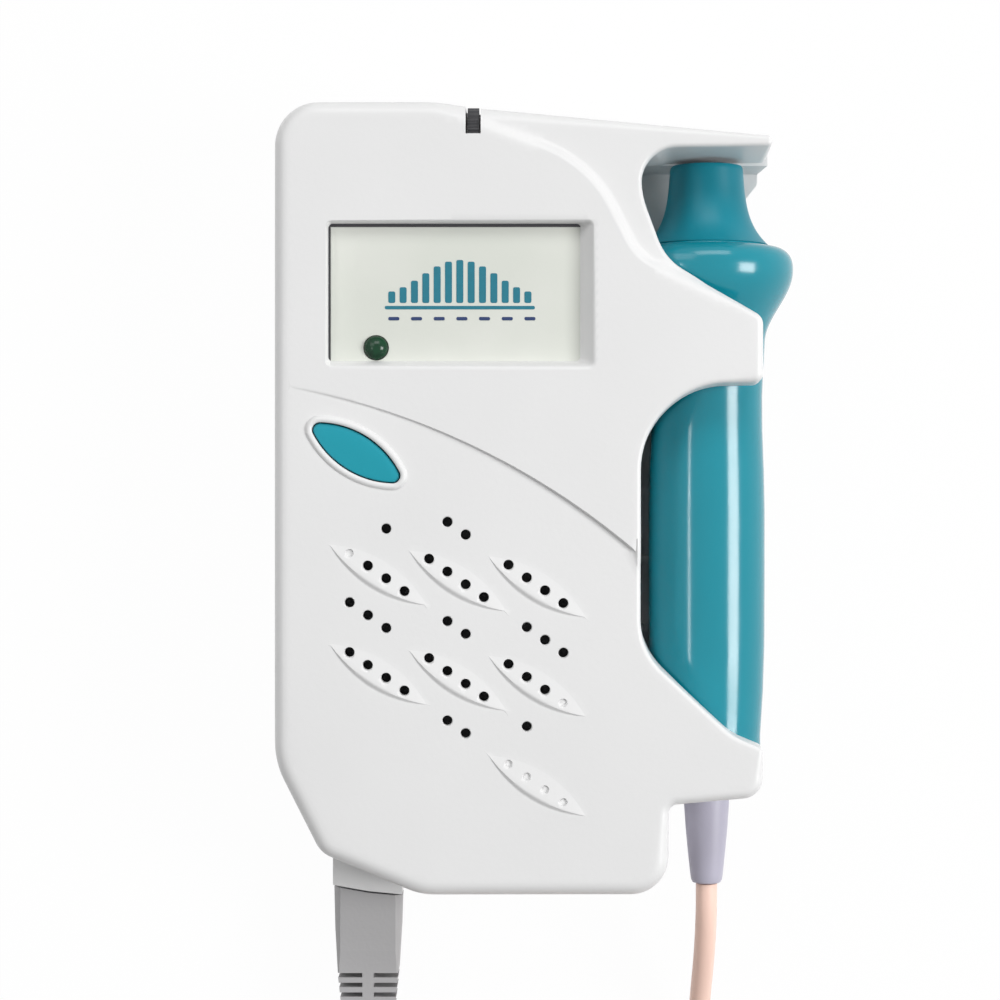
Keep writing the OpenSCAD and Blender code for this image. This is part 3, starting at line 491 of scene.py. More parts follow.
HALF_H = 68.1
LEFT_X = 42.1
BODY_T = 34.4
PARTING = 16  # height of the joint between the housings
WALL = 2.1
CEILING = BODY_T - WALL - 0.8  # inner side of the front
DRAFT = 0.8
EDGE = 2.4
CRADLE_EDGE = 0.8
CROWN = 0.7
GAP = 0.3  # round what moves
FIT = 0.2  # round what is seated
BRIDGE_X = 41.7
BRIDGE_TOP = 31.2
BRIDGE_LOW = 19.6
SHELF_X = 43.4
SHELF_Y = 60.4
SHELF_TOP = 62.3
OPENING_X = 20.7
POCKET_TOP = -42.9
POCKET_LOW = -51.3
FOOT_X = 25.6
SHELF_END = CRADLE_EDGE + 0.05
front_right = [
    (-14, HALF_H, 8, EDGE), (-8, HALF_H - 0.9, 8, EDGE),
    (SHELF_X, SHELF_TOP, SHELF_END, CRADLE_EDGE), (SHELF_X, SHELF_Y + 0.1, SHELF_END, CRADLE_EDGE),
    (OPENING_X, SHELF_Y - 0.2, 6, CRADLE_EDGE), (OPENING_X + 0.3, 52, 15, CRADLE_EDGE),
    (OPENING_X + 4.3, 41.2, 10, CRADLE_EDGE), (BRIDGE_X, BRIDGE_TOP, 2.5, 1.2),
    (BRIDGE_X, BRIDGE_LOW + 0.3, 1.5, 1.2), (OPENING_X, BRIDGE_LOW, 15, CRADLE_EDGE),
    (OPENING_X, -26.2, 12, CRADLE_EDGE), (36.5, -40.8, 12, CRADLE_EDGE),
    (BRIDGE_X, POCKET_TOP, 1, CRADLE_EDGE), (BRIDGE_X, POCKET_LOW, 3.5, 1.6),
    (FOOT_X, POCKET_LOW - 1.4, 1.6, 1.6), (FOOT_X, -HALF_H, 6.5, EDGE)]
rear_right = [
    (-14, HALF_H, 8, EDGE), (-8, HALF_H - 0.9, 8, EDGE),
    (SHELF_X, SHELF_TOP, 1, CRADLE_EDGE), (SHELF_X, SHELF_Y - 3, 1, CRADLE_EDGE),
    (39.5, 52.5, 4, CRADLE_EDGE), (27, 50.5, 4, CRADLE_EDGE), (27, 29.5, 4, CRADLE_EDGE),
    (BRIDGE_X, 24.5, 4, 1.2), (BRIDGE_X, POCKET_LOW, 3.5, 1.6),
    (FOOT_X, POCKET_LOW - 1.4, 1.6, 1.6), (FOOT_X, -HALF_H, 6.5, EDGE)]
left_up = [(-17, -HALF_H, 12, EDGE), (-34.2, -60.9, 5, EDGE), (-LEFT_X, -45.3, 15, EDGE),
           (-LEFT_X, HALF_H, 7.5, EDGE)]


def corner_arc(before, corner, after, step=5.0):
    """Points of the arc that rounds a corner between its neighbours, each with its edge rounding."""
    a, p, c = (np.array(q[:2], float) for q in (before, corner, after))
    radius, edge = corner[2:]
    u = (a - p) / np.linalg.norm(a - p)
    v = (c - p) / np.linalg.norm(c - p)
    half = math.acos(max(-1, min(1, float(u @ v)))) / 2
    w = (u + v) / np.linalg.norm(u + v)
    centre = p + w * radius / math.sin(half)
    start = p + u * radius / math.tan(half) - centre
    end = p + v * radius / math.tan(half) - centre
    a0 = math.atan2(start[1], start[0])
    sweep = (math.atan2(end[1], end[0]) - a0 + math.pi) % (2 * math.pi) - math.pi
    n = max(2, math.ceil(abs(math.degrees(sweep)) / step))
    return [(centre[0] + radius * math.cos(a0 + sweep * k / n),
             centre[1] + radius * math.sin(a0 + sweep * k / n), edge) for k in range(n + 1)]


def fine_ring(corners, longest=2.5):
    """The closed outline, clockwise, with points along its straight stretches too."""
    n = len(corners)
    arcs = [corner_arc(corners[i - 1], corners[i], corners[(i + 1) % n]) for i in range(n)]
    out = []
    for i, arc in enumerate(arcs):
        out += arc
        a, b = np.array(arc[-1]), np.array(arcs[(i + 1) % n][0])
        pieces = int(np.linalg.norm((b - a)[:2]) // longest)
        out += [tuple(a + (b - a) * k / (pieces + 1)) for k in range(1, pieces + 1)]
    keep = [out[0]]
    for p in out[1:]:
        if math.hypot(p[0] - keep[-1][0], p[1] - keep[-1][1]) > 0.03:
            keep.append(p)
    return keep


def inward_of(ring):
    """Unit vectors into a clockwise outline at its points."""
    xy = np.array([p[:2] for p in ring])
    t = np.roll(xy, -1, axis=0) - np.roll(xy, 1, axis=0)
    t /= np.linalg.norm(t, axis=1)[:, None]
    return np.stack([t[:, 1], -t[:, 0]], axis=1)


def inset_of(ring, by):
    return ring + inward_of(ring) * by


# Height of the front

STEP_AT = np.array((-62.6, -105.8))  # centre of the long arc across the front
STEP_R = 127
STEP_WIDTH = 0.34
FIELD_DROP = 0.38  # of the field under the arc, at its left
FIELD_FALL = (0.6, 61)  # how much lower it gets over this width
CORNER_FROM = (-16, 68)  # where the slope of the upper right corner starts
CORNER_TURN = math.radians(12)
CORNER_DROP = 0.85
CORNER_RUN = 48  # for each millimetre of fall
CORNER_WIDTH = 1.75
LEAF = (19.5, 5.2)
LEAF_R = (LEAF[0] ** 2 + LEAF[1] ** 2) / 4 / LEAF[1]  # of the arcs along its sides
LEAF_FROM_ROW = (0.2, -0.5)
LEAF_TURN = math.radians(-32)
LEAF_RISE = 0.7
GRILLE_FROM = np.array((-29.15, -9.3))  # first place of row 0 and column 0
COLUMN_STEP = np.array((13.6, -1.03))
ROW_STEP = np.array((0, -8.5))
PLACE_STEP = np.array((3.13, -2.19))
# Row, column, first place and last place of each run of holes
OPEN_HOLES = [(-1, 0, 2, 2), (-1, 1, 1, 2), (0, 0, 1, 3), (0, 1, 0, 3), (0, 2, 0, 3), (1, 0, 0, 2),
              (1, 1, 1, 2), (1, 2, 1, 3), (2, 0, 0, 3), (2, 1, 0, 3), (2, 2, 0, 2), (3, 1, 1, 2),
              (3, 2, 1, 1)]
BLIND_HOLES = [(0, 0, 0, 0), (2, 2, 3, 3), (4, 2, 0, 3)]
LEAVES = [(0, 0), (0, 1), (0, 2), (2, 0), (2, 1), (2, 2), (4, 2)]
BUTTON_AT = np.array((-28, 7.8))
BUTTON_TURN = math.radians(-32)
BUTTON = (17, 6.3)  # its length and width
END_R = 1.15
CORE_L = BUTTON[0] - 2 * END_R
CORE_W = BUTTON[1] - 2 * END_R
SIDE_R = (CORE_L * CORE_L + CORE_W * CORE_W) / 4 / CORE_W
RIM = 1.0
RIM_RISE = 0.5
RIM_RINGS = (-0.3, 0.0, 0.15, 0.35, 0.6, 0.85, 1.05, 1.2, 1.35)
STEP_LINES = (-0.45, -0.17, -0.08, 0.08, 0.17, 0.45)
CORNER_LINES = (-1.1, -0.95, -0.5, 0, 0.5, 0.95, 1.1)
LEAF_LINES = (1.02, 0.93, 0.75, 0.4, 0, -0.35, -0.6, -0.7, -0.8, -0.9, -0.99, -1.03)
FACE_STEP = 1.1  # between the points of the front's face
EDGE_FREE = 0.25
POINT_FREE = 0.5


def hole_at(row, column, place):
    """A place of the slanted rows, where a sound hole may be."""
    return GRILLE_FROM + column * COLUMN_STEP + row * ROW_STEP + place * PLACE_STEP


def ease(t):
    t = np.clip(t, 0, 1)
    return t * t * (3 - 2 * t)


def turned_to(p, at, angle):
    """The points along and across a direction at a place."""
    d = p - at
    c, s = math.cos(angle), math.sin(angle)
    return d[:, 0] * c + d[:, 1] * s, -d[:, 0] * s + d[:, 1] * c


def almond_distance(u, v):
    """How far a point lies outside the button's almond outline, negative inside."""
    offset = SIDE_R - CORE_W / 2
    u, v = np.abs(u), np.abs(v)
    beyond = (u - CORE_L / 2) * offset > v * CORE_L / 2
    return np.where(beyond, np.hypot(u - CORE_L / 2, v), np.hypot(u, v + offset) - SIDE_R) - END_R


corner_line = [(-20, 69.3, 0)] + corner_arc((-20, 69.3), (12.1, 57.7, 22, 0), (20.4, 41.5), 3) \
    + corner_arc((12.1, 57.7), (20.4, 41.5, 9, 0), (46, 29.5), 4) + [(46, 29.5, 0)]


def beyond_corner(p):
    """Signed distance past the long step at the upper right corner."""
    line = np.array([q[:2] for q in corner_line])
    best = np.full(len(p), 1e9)
    side = np.zeros(len(p))
    for a, b in zip(line, line[1:]):
        d = b - a
        t = np.clip(((p - a) @ d) / (d @ d), 0, 1)
        away = np.linalg.norm(p - a - t[:, None] * d, axis=1)
        cross = d[0] * (p[:, 1] - a[1]) - d[1] * (p[:, 0] - a[0])
        nearer = away < best
        best = np.where(nearer, away, best)
        side = np.where(nearer, np.sign(cross), side)
    return best * side


def front_height(p):
    """Height of the front over the points, in millimetres."""
    x, y = p[:, 0], p[:, 1]
    base = BODY_T - CROWN * ((x / LEFT_X) ** 2 + (y / HALF_H) ** 2) / 2
    field = BODY_T - FIELD_DROP - (x + LEFT_X) * FIELD_FALL[0] / FIELD_FALL[1]
    inside = STEP_R - np.linalg.norm(p - STEP_AT, axis=1)
    z = base - np.maximum(base - field, 0) * ease(inside / STEP_WIDTH + 0.5)
    past = beyond_corner(p)
    along = (x - CORNER_FROM[0]) * math.cos(CORNER_TURN) - (y - CORNER_FROM[1]) * math.sin(CORNER_TURN)
    drop = np.maximum(base - (BODY_T - CORNER_DROP - along / CORNER_RUN), 0)
    z -= drop * ease(past / CORNER_WIDTH + 0.5) * ease((inside + 3) / -3 + 1.0)
    for row, column in LEAVES:
        u, v = turned_to(p, hole_at(row, column, 1.5) + LEAF_FROM_ROW, LEAF_TURN)
        half = np.sqrt(np.maximum(LEAF_R * LEAF_R - u * u, 0)) - LEAF_R + LEAF[1] / 2
        s = np.where(half > 0.01, v / np.maximum(half, 0.01), 9)
        tilt = np.clip((1 - s) / 2, 0, 1) * ease((s + 1) / 0.36)
        z += LEAF_RISE * tilt * np.clip(half / (LEAF[1] / 2), 0, 1) ** 0.8 * (np.abs(s) <= 1)
    u, v = turned_to(p, BUTTON_AT, BUTTON_TURN)
    away = almond_distance(u, v) - FIT
    ridge = np.clip(1 - ((away - RIM / 2) / (RIM / 2 + 0.1)) ** 2, 0, 1) ** 0.6
    return z + RIM_RISE * ridge


def feature_lines():
    """Lines that the front's faces follow: the two long steps and the leaves."""
    lines = []
    for off in STEP_LINES:
        r = STEP_R + off
        lines.append([(STEP_AT[0] + r * math.cos(a), STEP_AT[1] + r * math.sin(a))
                      for a in np.radians(np.arange(48.9, 80.9, 0.5))])
    line = np.array([q[:2] for q in corner_line])
    t = np.gradient(line, axis=0)
    t /= np.linalg.norm(t, axis=1)[:, None]
    side = np.stack([-t[:, 1], t[:, 0]], axis=1)
    for off in CORNER_LINES:
        lines.append([tuple(q) for q in line + side * off])
    for row, column in LEAVES:
        for share in LEAF_LINES:
            arc = [(u, (math.sqrt(LEAF_R * LEAF_R - u * u) - LEAF_R + LEAF[1] / 2) * share)
                   for u in np.linspace(-LEAF[0] / 2 + 0.3, LEAF[0] / 2 - 0.3, 28)]
            lines.append(placed(arc, hole_at(row, column, 1.5) + LEAF_FROM_ROW, LEAF_TURN))
    return lines


def almond_ring(grow, count=40):
    """The button's outline widened by so much, counter-clockwise, about the origin."""
    half = math.asin(CORE_L / 2 / SIDE_R)
    r = SIDE_R + END_R + grow
    out = [(r * math.sin(a), SIDE_R - CORE_W / 2 - r * math.cos(a)) for a in np.linspace(-half, half, count)]
    for a in np.linspace(half - math.pi / 2, math.pi / 2 - half, 12)[1:-1]:
        out.append((CORE_L / 2 + (END_R + grow) * math.cos(a), (END_R + grow) * math.sin(a)))
    return out + [(-u, -v) for u, v in out]


def placed(outline, at, angle):
    """An outline turned by an angle and moved to a place."""
    c, s = math.cos(angle), math.sin(angle)
    return [(at[0] + u * c - v * s, at[1] + u * s + v * c) for u, v in outline]


def inside_ring(points, ring):
    """Which points lie in a closed outline."""
    x, y = points[:, 0], points[:, 1]
    hit = np.zeros(len(points), bool)
    for (x0, y0), (x1, y1) in zip(ring, np.roll(ring, -1, axis=0)):
        if y0 != y1:
            crosses = (y0 > y) != (y1 > y)
            hit ^= crosses & (x < (x1 - x0) * (y - y0) / (y1 - y0) + x0)
    return hit


def front_top(edge):
    """Flat points and triangles inside the face's edge, following its features."""
    points = [tuple(p) for p in edge]
    edges = [(i, (i + 1) % len(edge)) for i in range(len(edge))]
    safe = inset_of(np.array(edge), EDGE_FREE)
    for line in feature_lines():
        ok = inside_ring(np.array(line), safe)
        before = None
        for p, good in zip(line, ok):
            if good:
                points.append(tuple(p))
                if before is not None:
                    edges.append((before, len(points) - 1))
                before = len(points) - 1
            else:
                before = None
    for grow in RIM_RINGS:
        ring = placed(almond_ring(FIT + grow), BUTTON_AT, BUTTON_TURN)
        first = len(points)
        points += ring
        edges += [(first + k, first + (k + 1) % len(ring)) for k in range(len(ring))]
    xs, ys = np.meshgrid(np.arange(-43, 45, FACE_STEP), np.arange(-69, 69, FACE_STEP * 0.87))
    xs = xs + (np.arange(len(xs)) % 2)[:, None] * FACE_STEP / 2
    grid = np.stack([xs.ravel(), ys.ravel()], axis=1)
    grid = grid[inside_ring(grid, safe)]
    tree = KDTree(len(points))
    for k, p in enumerate(points):
        tree.insert((p[0], p[1], 0), k)
    tree.balance()
    points += [tuple(p) for p in grid if tree.find((p[0], p[1], 0))[2] > POINT_FREE]
    made = delaunay_2d_cdt([Vector(p) for p in points], edges, [], 1, 1e-5)
    return [tuple(v) for v in made[0]], [tuple(f) for f in made[2]]


EDGE_ANGLES = [0, 15, 30, 45, 60, 75, 90]


def front_skin():
    """The closed outer form of the front housing."""
    ring = fine_ring(front_right + left_up)
    xy = np.array([p[:2] for p in ring])
    e = np.array([p[2] for p in ring])
    inward = inward_of(ring)
    n = len(ring)
    levels = [np.column_stack([xy - inward * DRAFT, np.full(n, PARTING)])]
    for a in np.radians(EDGE_ANGLES):
        q = xy + inward * (e * (1 - math.cos(a)))[:, None]
        levels.append(np.column_stack([q, front_height(q) - e + e * math.sin(a)]))
    rim = levels.pop()
    flat, triangles = front_top(rim[:, :2])
    heights = front_height(np.array(flat))
    heights[:n] = rim[:, 2]
    points = [tuple(p) for level in levels for p in level]
    base = len(points)
    points += [(p[0], p[1], h) for p, h in zip(flat, heights)]
    faces = [tuple(range(n))]
    for k in range(len(levels)):
        for i in range(n):
            j = (i + 1) % n
            up = (k + 1) * n if k + 1 < len(levels) else base
            faces.append((k * n + i, up + i, up + j, k * n + j))
    for f in triangles:
        a, b, c = (np.array(flat[i]) for i in f)
        turn = (b - a)[0] * (c - a)[1] - (b - a)[1] * (c - a)[0]
        f = f if turn > 0 else f[::-1]
        faces.append(tuple(base + i for i in f))
    return mesh_object("front_cover", points, faces)


def rear_skin():
    """The closed outer form of the rear housing."""
    ring = fine_ring(rear_right + left_up)
    xy = np.array([p[:2] for p in ring])
    e = np.array([p[2] for p in ring])
    inward = inward_of(ring)
    n = len(ring)
    points = [(p[0], p[1], PARTING) for p in xy - inward * DRAFT]
    for a in np.radians(EDGE_ANGLES):
        q = xy + inward * (e * (1 - math.cos(a)))[:, None]
        points += [(p[0], p[1], d) for p, d in zip(q, e - e * math.sin(a))]
    faces = [tuple(reversed(range(n)))]
    levels = len(EDGE_ANGLES) + 1
    for k in range(levels - 1):
        for i in range(n):
            j = (i + 1) % n
            faces.append((k * n + i, k * n + j, (k + 1) * n + j, (k + 1) * n + i))
    faces.append(tuple((levels - 1) * n + i for i in range(n)))
    return mesh_object("rear_cover", points, faces)


# What both housings share: the room inside, the probe's room and the screws

PROBE = (33.3, 16.6)  # x and z of the probe's axis
HANDLE_R = 10.3
COLLAR_R = 15.3
PROBE_LOW = -49.4
FAR = 90  # well outside the part
WALL_X = OPENING_X - WALL
COLLAR_WALL = PROBE[0] - COLLAR_R - GAP - WALL
SCREWS = [(-36.9, 16.2), (14.6, 12), (-36.2, -38), (18.6, -59.6)]
BOSS_R = 2.9
PILOT_R = 1.25
SHANK_R = 1.35
HEAD_R = 2.5


def room_outline():
    """The room inside both housings, counter-clockwise."""
    ring = np.array([p[:2] for p in fine_ring(front_right + left_up)])
    inner = [tuple(p) for p in inset_of(ring, WALL) if p[0] < -15.5]
    right = [(-13, HALF_H - 1.1 - WALL), (COLLAR_WALL, 65.4 - WALL), (COLLAR_WALL, 27.5), (WALL_X, 26),
             (WALL_X, POCKET_LOW - 3.4), (FOOT_X - WALL, POCKET_LOW - 4.4), (FOOT_X - WALL, -61),
             (FOOT_X - WALL - 4.5, -HALF_H + WALL)]
    return list(reversed(right + inner))


def sideways(r, y0, y1):
    """A round channel along Y, open to the right."""
    half = [(PROBE[0] + r * math.cos(a), PROBE[1] + r * math.sin(a))
            for a in np.radians(np.arange(90, 271, 4))]
    outline = half + [(FAR, PROBE[1] - r), (FAR, PROBE[1] + r)]
    points, faces = prism(outline, 0, y1 - y0)
    return [(p[0], y0 + p[2], p[1]) for p in points], [tuple(reversed(f)) for f in faces]


def probe_room():
    """Tools that clear the cradle for the handle, the collar, the nose and the boot."""
    return [sideways(HANDLE_R + GAP + 0.1, PROBE_LOW - GAP, 30), sideways(COLLAR_R + GAP, 28.2, 46),
            block((COLLAR_WALL + WALL, 45.5, PARTING - 12), (FAR, SHELF_Y - 1.2, PARTING + 15.4)),
            sideways(4.6, -60, PROBE_LOW)]


WINDOW_AT = (-10.4, 35.1)
WINDOW = (45.7, 24.9)  # width and height of the display recess
WHEEL_AT = (-8, 60.5, BODY_T - 9.4)
WHEEL_R = 8.4
WHEEL_T = 2
JACK = (-28, 22.5)  # x and z of its bore


def window_tool():
    """The display recess: steep at its left, sloped at its right and at its lower edge."""
    x, y = WINDOW_AT
    w, h = WINDOW[0] / 2, WINDOW[1] / 2
    # Height, then how far it reaches to the left, right, bottom and top, and its corners' radius
    steps = [(CEILING - 1, w - 0.45, w - 2.9, h - 1.3, h - 0.45, 0.7),
             (BODY_T - 0.55, w - 0.15, w - 0.1, h - 0.1, h - 0.12, 0.9),
             (BODY_T - 0.25, w + 0.05, w + 0.15, h + 0.15, h + 0.1, 1.0),
             (BODY_T, w + 0.5, w + 0.75, h + 0.75, h + 0.6, 1.3),
             (BODY_T + 2, w + 2.5, w + 2.8, h + 2.8, h + 2.6, 3)]
    return stacked([[(*p, z) for p in rounded_box(x - left, x + right, y - low, y + high, r, 15)]
                    for z, left, right, low, high, r in steps])


HOLE_R = 0.86
DIMPLE_R = 0.62
DIMPLE_DEPTH = 0.45


def sound_holes(groups, low, r):
    """Round tools for the sound holes, flared where they meet the front. Without low they are dimples."""
    out = []
    for row, column, first, last in groups:
        for k in range(first, last + 1):
            at = hole_at(row, column, k)
            top = float(front_height(np.array([at]))[0])
            sizes = [(low if low else top - DIMPLE_DEPTH, r), (top - 0.22, r), (top - 0.03, r + 0.1),
                     (top + 0.35, r + 0.55)]
            out.append(stacked([[(*p, z) for p in circle(at[0], at[1], q, 28)] for z, q in sizes]))
    return out


POSTS = [(-12, 17.4), (8.4, 17.4), (-12, 4.8), (8.4, 4.8)]  # they carry the board
POST_R = 2.2
POST_LOW = 23.6


def make_front():
    """The front housing: its skin, hollowed, with bosses and posts, and cut for what passes through it."""
    cover = front_skin()
    carve(cover, "DIFFERENCE", [prism(room_outline(), PARTING - 1, CEILING)])
    carve(cover, "UNION",
          [prism(circle(x, y, BOSS_R), PARTING, CEILING + 0.4) for x, y in SCREWS]
          + [prism(circle(x, y, POST_R), POST_LOW, CEILING + 0.4) for x, y in POSTS])
    hole = placed(almond_ring(FIT), BUTTON_AT, BUTTON_TURN)
    slot_half = WHEEL_T / 2 + GAP
    tools = probe_room() + [window_tool(), prism(hole, CEILING - 1, BODY_T + 4)]
    tools += sound_holes(OPEN_HOLES, CEILING - 1, HOLE_R) + sound_holes(BLIND_HOLES, None, DIMPLE_R)
    tools += [block((WHEEL_AT[0] - slot_half, 62.4, WHEEL_AT[2] - 4), (WHEEL_AT[0] + slot_half, 80, 50)),
              rod("x", (WHEEL_AT[0] - slot_half, WHEEL_AT[1], WHEEL_AT[2]), WHEEL_R + GAP, 2 * slot_half),
              rod("y", (JACK[0], HALF_H - 8, JACK[1]), 3.0, 12)]
    tools += [prism(circle(x, y, PILOT_R), PARTING - 1, PARTING + 10) for x, y in SCREWS]
    carve(cover, "DIFFERENCE", tools)
    return cover


BAY_LOW = 21.2
CELL_R = 7.1
CELL_PITCH = 14.8
BAY_HIGH = BAY_LOW + CELL_PITCH + 2 * CELL_R + 0.8
BAY_FROM = -40
CELLS_FROM = -37.4
CELL_L = 50.5
BAY_TO = CELLS_FROM + CELL_L + 1
BAY_WALL = 1.4
CELL_Z = 9.4
DOOR = (-12.5, 50.6)  # middle and width of the battery door
DOOR_LOW = BAY_LOW - 1.6
DOOR_LIP = 0.8
POCKET_T = 2.1
BLOCK_W = 12.3
BLOCK_LOW = -69.9
BEDS = (-47.6, -35.2, -22.8, -10.4, 2, 14.4)
BED_L = 11.2


def make_rear():
    """The rear housing, with the probe's bed, the battery bay, the door's track and the socket's block."""
    cover = rear_skin()
    saddle = PROBE[1] - HANDLE_R - GAP
    beds = [block((WALL_X + WALL + 1.4, y, WALL), (BRIDGE_X - WALL, y + BED_L, PARTING + 2)) for y in BEDS]
    carve(cover, "DIFFERENCE", [prism(room_outline(), WALL, PARTING + 1)] + beds
          + [block((WALL_X + WALL, PROBE_LOW - GAP, saddle), (FAR, 29.7, PARTING + 2))])
    x0, x1 = BAY_FROM - 1, BAY_TO + BAY_WALL
    low, high = WALL - 0.1, WALL + CELL_Z
    half = BLOCK_W / 2
    socket_block = [(SOCKET[0] - half, BLOCK_LOW + 1.1), (SOCKET[0], BLOCK_LOW),
                    (SOCKET[0] + half, BLOCK_LOW - 0.6), (SOCKET[0] + half, BLOCK_LOW + 12),
                    (SOCKET[0] - half, BLOCK_LOW + 12)]
    door_x0, door_x1 = DOOR[0] - DOOR[1] / 2, DOOR[0] + DOOR[1] / 2
    carve(cover, "UNION", [
        block((x0, BAY_LOW - BAY_WALL, low), (x1, BAY_LOW, high)),
        block((x0, BAY_HIGH, low), (x1, BAY_HIGH + BAY_WALL, high)),
        block((BAY_TO, BAY_LOW - 1.3, low), (x1 - 0.05, BAY_HIGH + 1.3, high - 0.05)),
        block((door_x0 - 2, BAY_LOW - 3, POCKET_T), (door_x1 + 2, HALF_H - 1.6, POCKET_T + 1.5)),
        prism(socket_block, 2, PARTING - 0.2)]
        + [prism(circle(x, y, BOSS_R), 1, PARTING) for x, y in SCREWS])
    tools = probe_room() + [
        block((door_x0 - FIT, DOOR_LOW - FIT, -1), (door_x1 + FIT, FAR, POCKET_T)),
        block((door_x0 - DOOR_LIP - FIT, DOOR_LOW - FIT + 0.01, 0.9),
              (door_x1 + DOOR_LIP + FIT, FAR, POCKET_T - 0.01)),
        block((CELLS_FROM + 0.4, BAY_LOW + 0.6, -1), (CELLS_FROM + CELL_L - 0.9, BAY_HIGH - 0.6, 7))]
    tools += [rod("x", (BAY_FROM, BAY_LOW + CELL_R + 0.4 + k * CELL_PITCH, CELL_Z), CELL_R + GAP,
                  BAY_TO - BAY_FROM) for k in (0, 1)]
    tools += [prism(circle(x, y, HEAD_R), -1, 3.4) for x, y in SCREWS]
    tools += [prism(circle(x, y, SHANK_R), -1, PARTING + 2) for x, y in SCREWS]
    tools += [block((SOCKET[0] - half + 1.6, BLOCK_LOW - 1, SOCKET[1] - 4.4),
                    (SOCKET[0] + half - 1.6, BLOCK_LOW + 13, SOCKET[1] + 4.4))]
    carve(cover, "DIFFERENCE", tools)
    return cover


for made, node in ((make_front(), "front_housing"), (make_rear(), "rear_housing")):
    shade(made, 34)
    dress(made, housing_white)
    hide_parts(node)
    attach(made, "unit")

# The probe

NOSE_LOW = 44.9
TIP = SHELF_Y - 1.4
COLLAR_Y = 40.4
FACE_R = 6.4
NOSE_FOOT = 10.9
PROBE_WALL = 1.6


def eased(a, b, s):
    """From a to b along half a cosine wave."""
    return a + (b - a) * (1 - math.cos(math.pi * s)) / 2


def handle_profile():
    """Outer line from the collar's top to the foot, then the inner line back."""
    outer = [(NOSE_FOOT - 0.2, NOSE_LOW)]
    outer += [(NOSE_FOOT + (COLLAR_R - NOSE_FOOT) * math.sin(a) ** 0.8,
               COLLAR_Y + (NOSE_LOW - 0.4 - COLLAR_Y) * max(math.cos(a), 0) ** 0.8)
              for a in np.radians(np.arange(0, 91, 4.5))]
    outer += [(eased(HANDLE_R, COLLAR_R, s), 27.4 + (COLLAR_Y - 27.4) * s) for s in np.arange(0.96, 0, -0.04)]
    outer += [(HANDLE_R, 27.4), (HANDLE_R - 0.3, 22), (HANDLE_R - 0.45, 18), (HANDLE_R - 0.4, 12),
              (HANDLE_R - 0.15, 5), (HANDLE_R, -2), (HANDLE_R, -14), (HANDLE_R - 0.05, -26),
              (HANDLE_R - 0.3, -34), (HANDLE_R - 0.8, -42)]
    foot = 2.6
    r = HANDLE_R - 0.8
    outer += [(r - foot + foot * math.cos(a), PROBE_LOW + foot - foot * math.sin(a))
              for a in np.radians(np.arange(0, 91, 9))]
    outer += [(3, PROBE_LOW)]
    inner = [(3, PROBE_LOW + PROBE_WALL), (r - PROBE_WALL - 1, PROBE_LOW + PROBE_WALL),
             (r - PROBE_WALL, -42), (HANDLE_R - PROBE_WALL, -26), (HANDLE_R - PROBE_WALL - 0.4, 18),
             (HANDLE_R - PROBE_WALL, 27), (NOSE_FOOT + 1, 38), (NOSE_FOOT - PROBE_WALL - 0.4, NOSE_LOW)]
    return outer + inner


def nose_r(s):
    """The nose's radius at a share of the way from the tip to its foot."""
    return FACE_R + 1.1 * s + (NOSE_FOOT - FACE_R - 1.1) * s ** 4


def nose_profile():
    """Outer line from the tip to the foot, then the inner line back."""
    h = TIP - NOSE_LOW
    outer = [(FACE_R - 1.2, TIP), (FACE_R - 0.5, TIP), (FACE_R - 0.2, TIP - 0.1), (FACE_R - 0.02, TIP - 0.35)]
    outer += [(nose_r(s), TIP - h * s) for s in np.arange(0.05, 0.99, 0.03)]
    outer += [(NOSE_FOOT, NOSE_LOW), (NOSE_FOOT - PROBE_WALL - 0.6, NOSE_LOW),
              (NOSE_FOOT - PROBE_WALL - 0.6, NOSE_LOW - 2), (NOSE_FOOT - 2 * PROBE_WALL - 0.2, NOSE_LOW - 2),
              (NOSE_FOOT - 2 * PROBE_WALL - 0.6, NOSE_LOW + 1), (FACE_R - 1.2, NOSE_LOW + 6)]
    return outer


def boot_profile():
    """The strain relief, from its flange inside the handle to the cable."""
    return [(0, PROBE_LOW + 3), (4.4, PROBE_LOW + 3), (4.4, PROBE_LOW + PROBE_WALL),
            (2.95, PROBE_LOW + PROBE_WALL), (2.95, PROBE_LOW), (3.9, PROBE_LOW - 0.02),
            (4.08, PROBE_LOW - 0.2), (4.1, PROBE_LOW - 0.5), (3.98, -54.5), (3.7, -58.5), (3.3, -62.8),
            (2.9, -66.6), (2.75, -67.6), (2.5, -68.1), (CABLE / 2, -68.3), (0, -68.3)]


for name, node, profile, skin, slot in (
        ("probe_grip", "probe_handle", handle_profile(), teal_gloss, "teal"),
        ("probe_tip", "probe_nose", nose_profile(), teal_satin, "teal"),
        ("probe_relief", "probe_boot", boot_profile(), boot_grey, "boot")):
    made = lathe(name, profile, PROBE)
    dress(made, skin)
    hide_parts(node)
    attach(made, "probe")

# The power button: a domed cap in the rim, a flange under the cover and a stem to the switch

BUTTON_TOP = BODY_T - 0.7
FLANGE_Z = CEILING - GAP - 1.4
STEM_Z = 28.6
STEM_R = 1.5
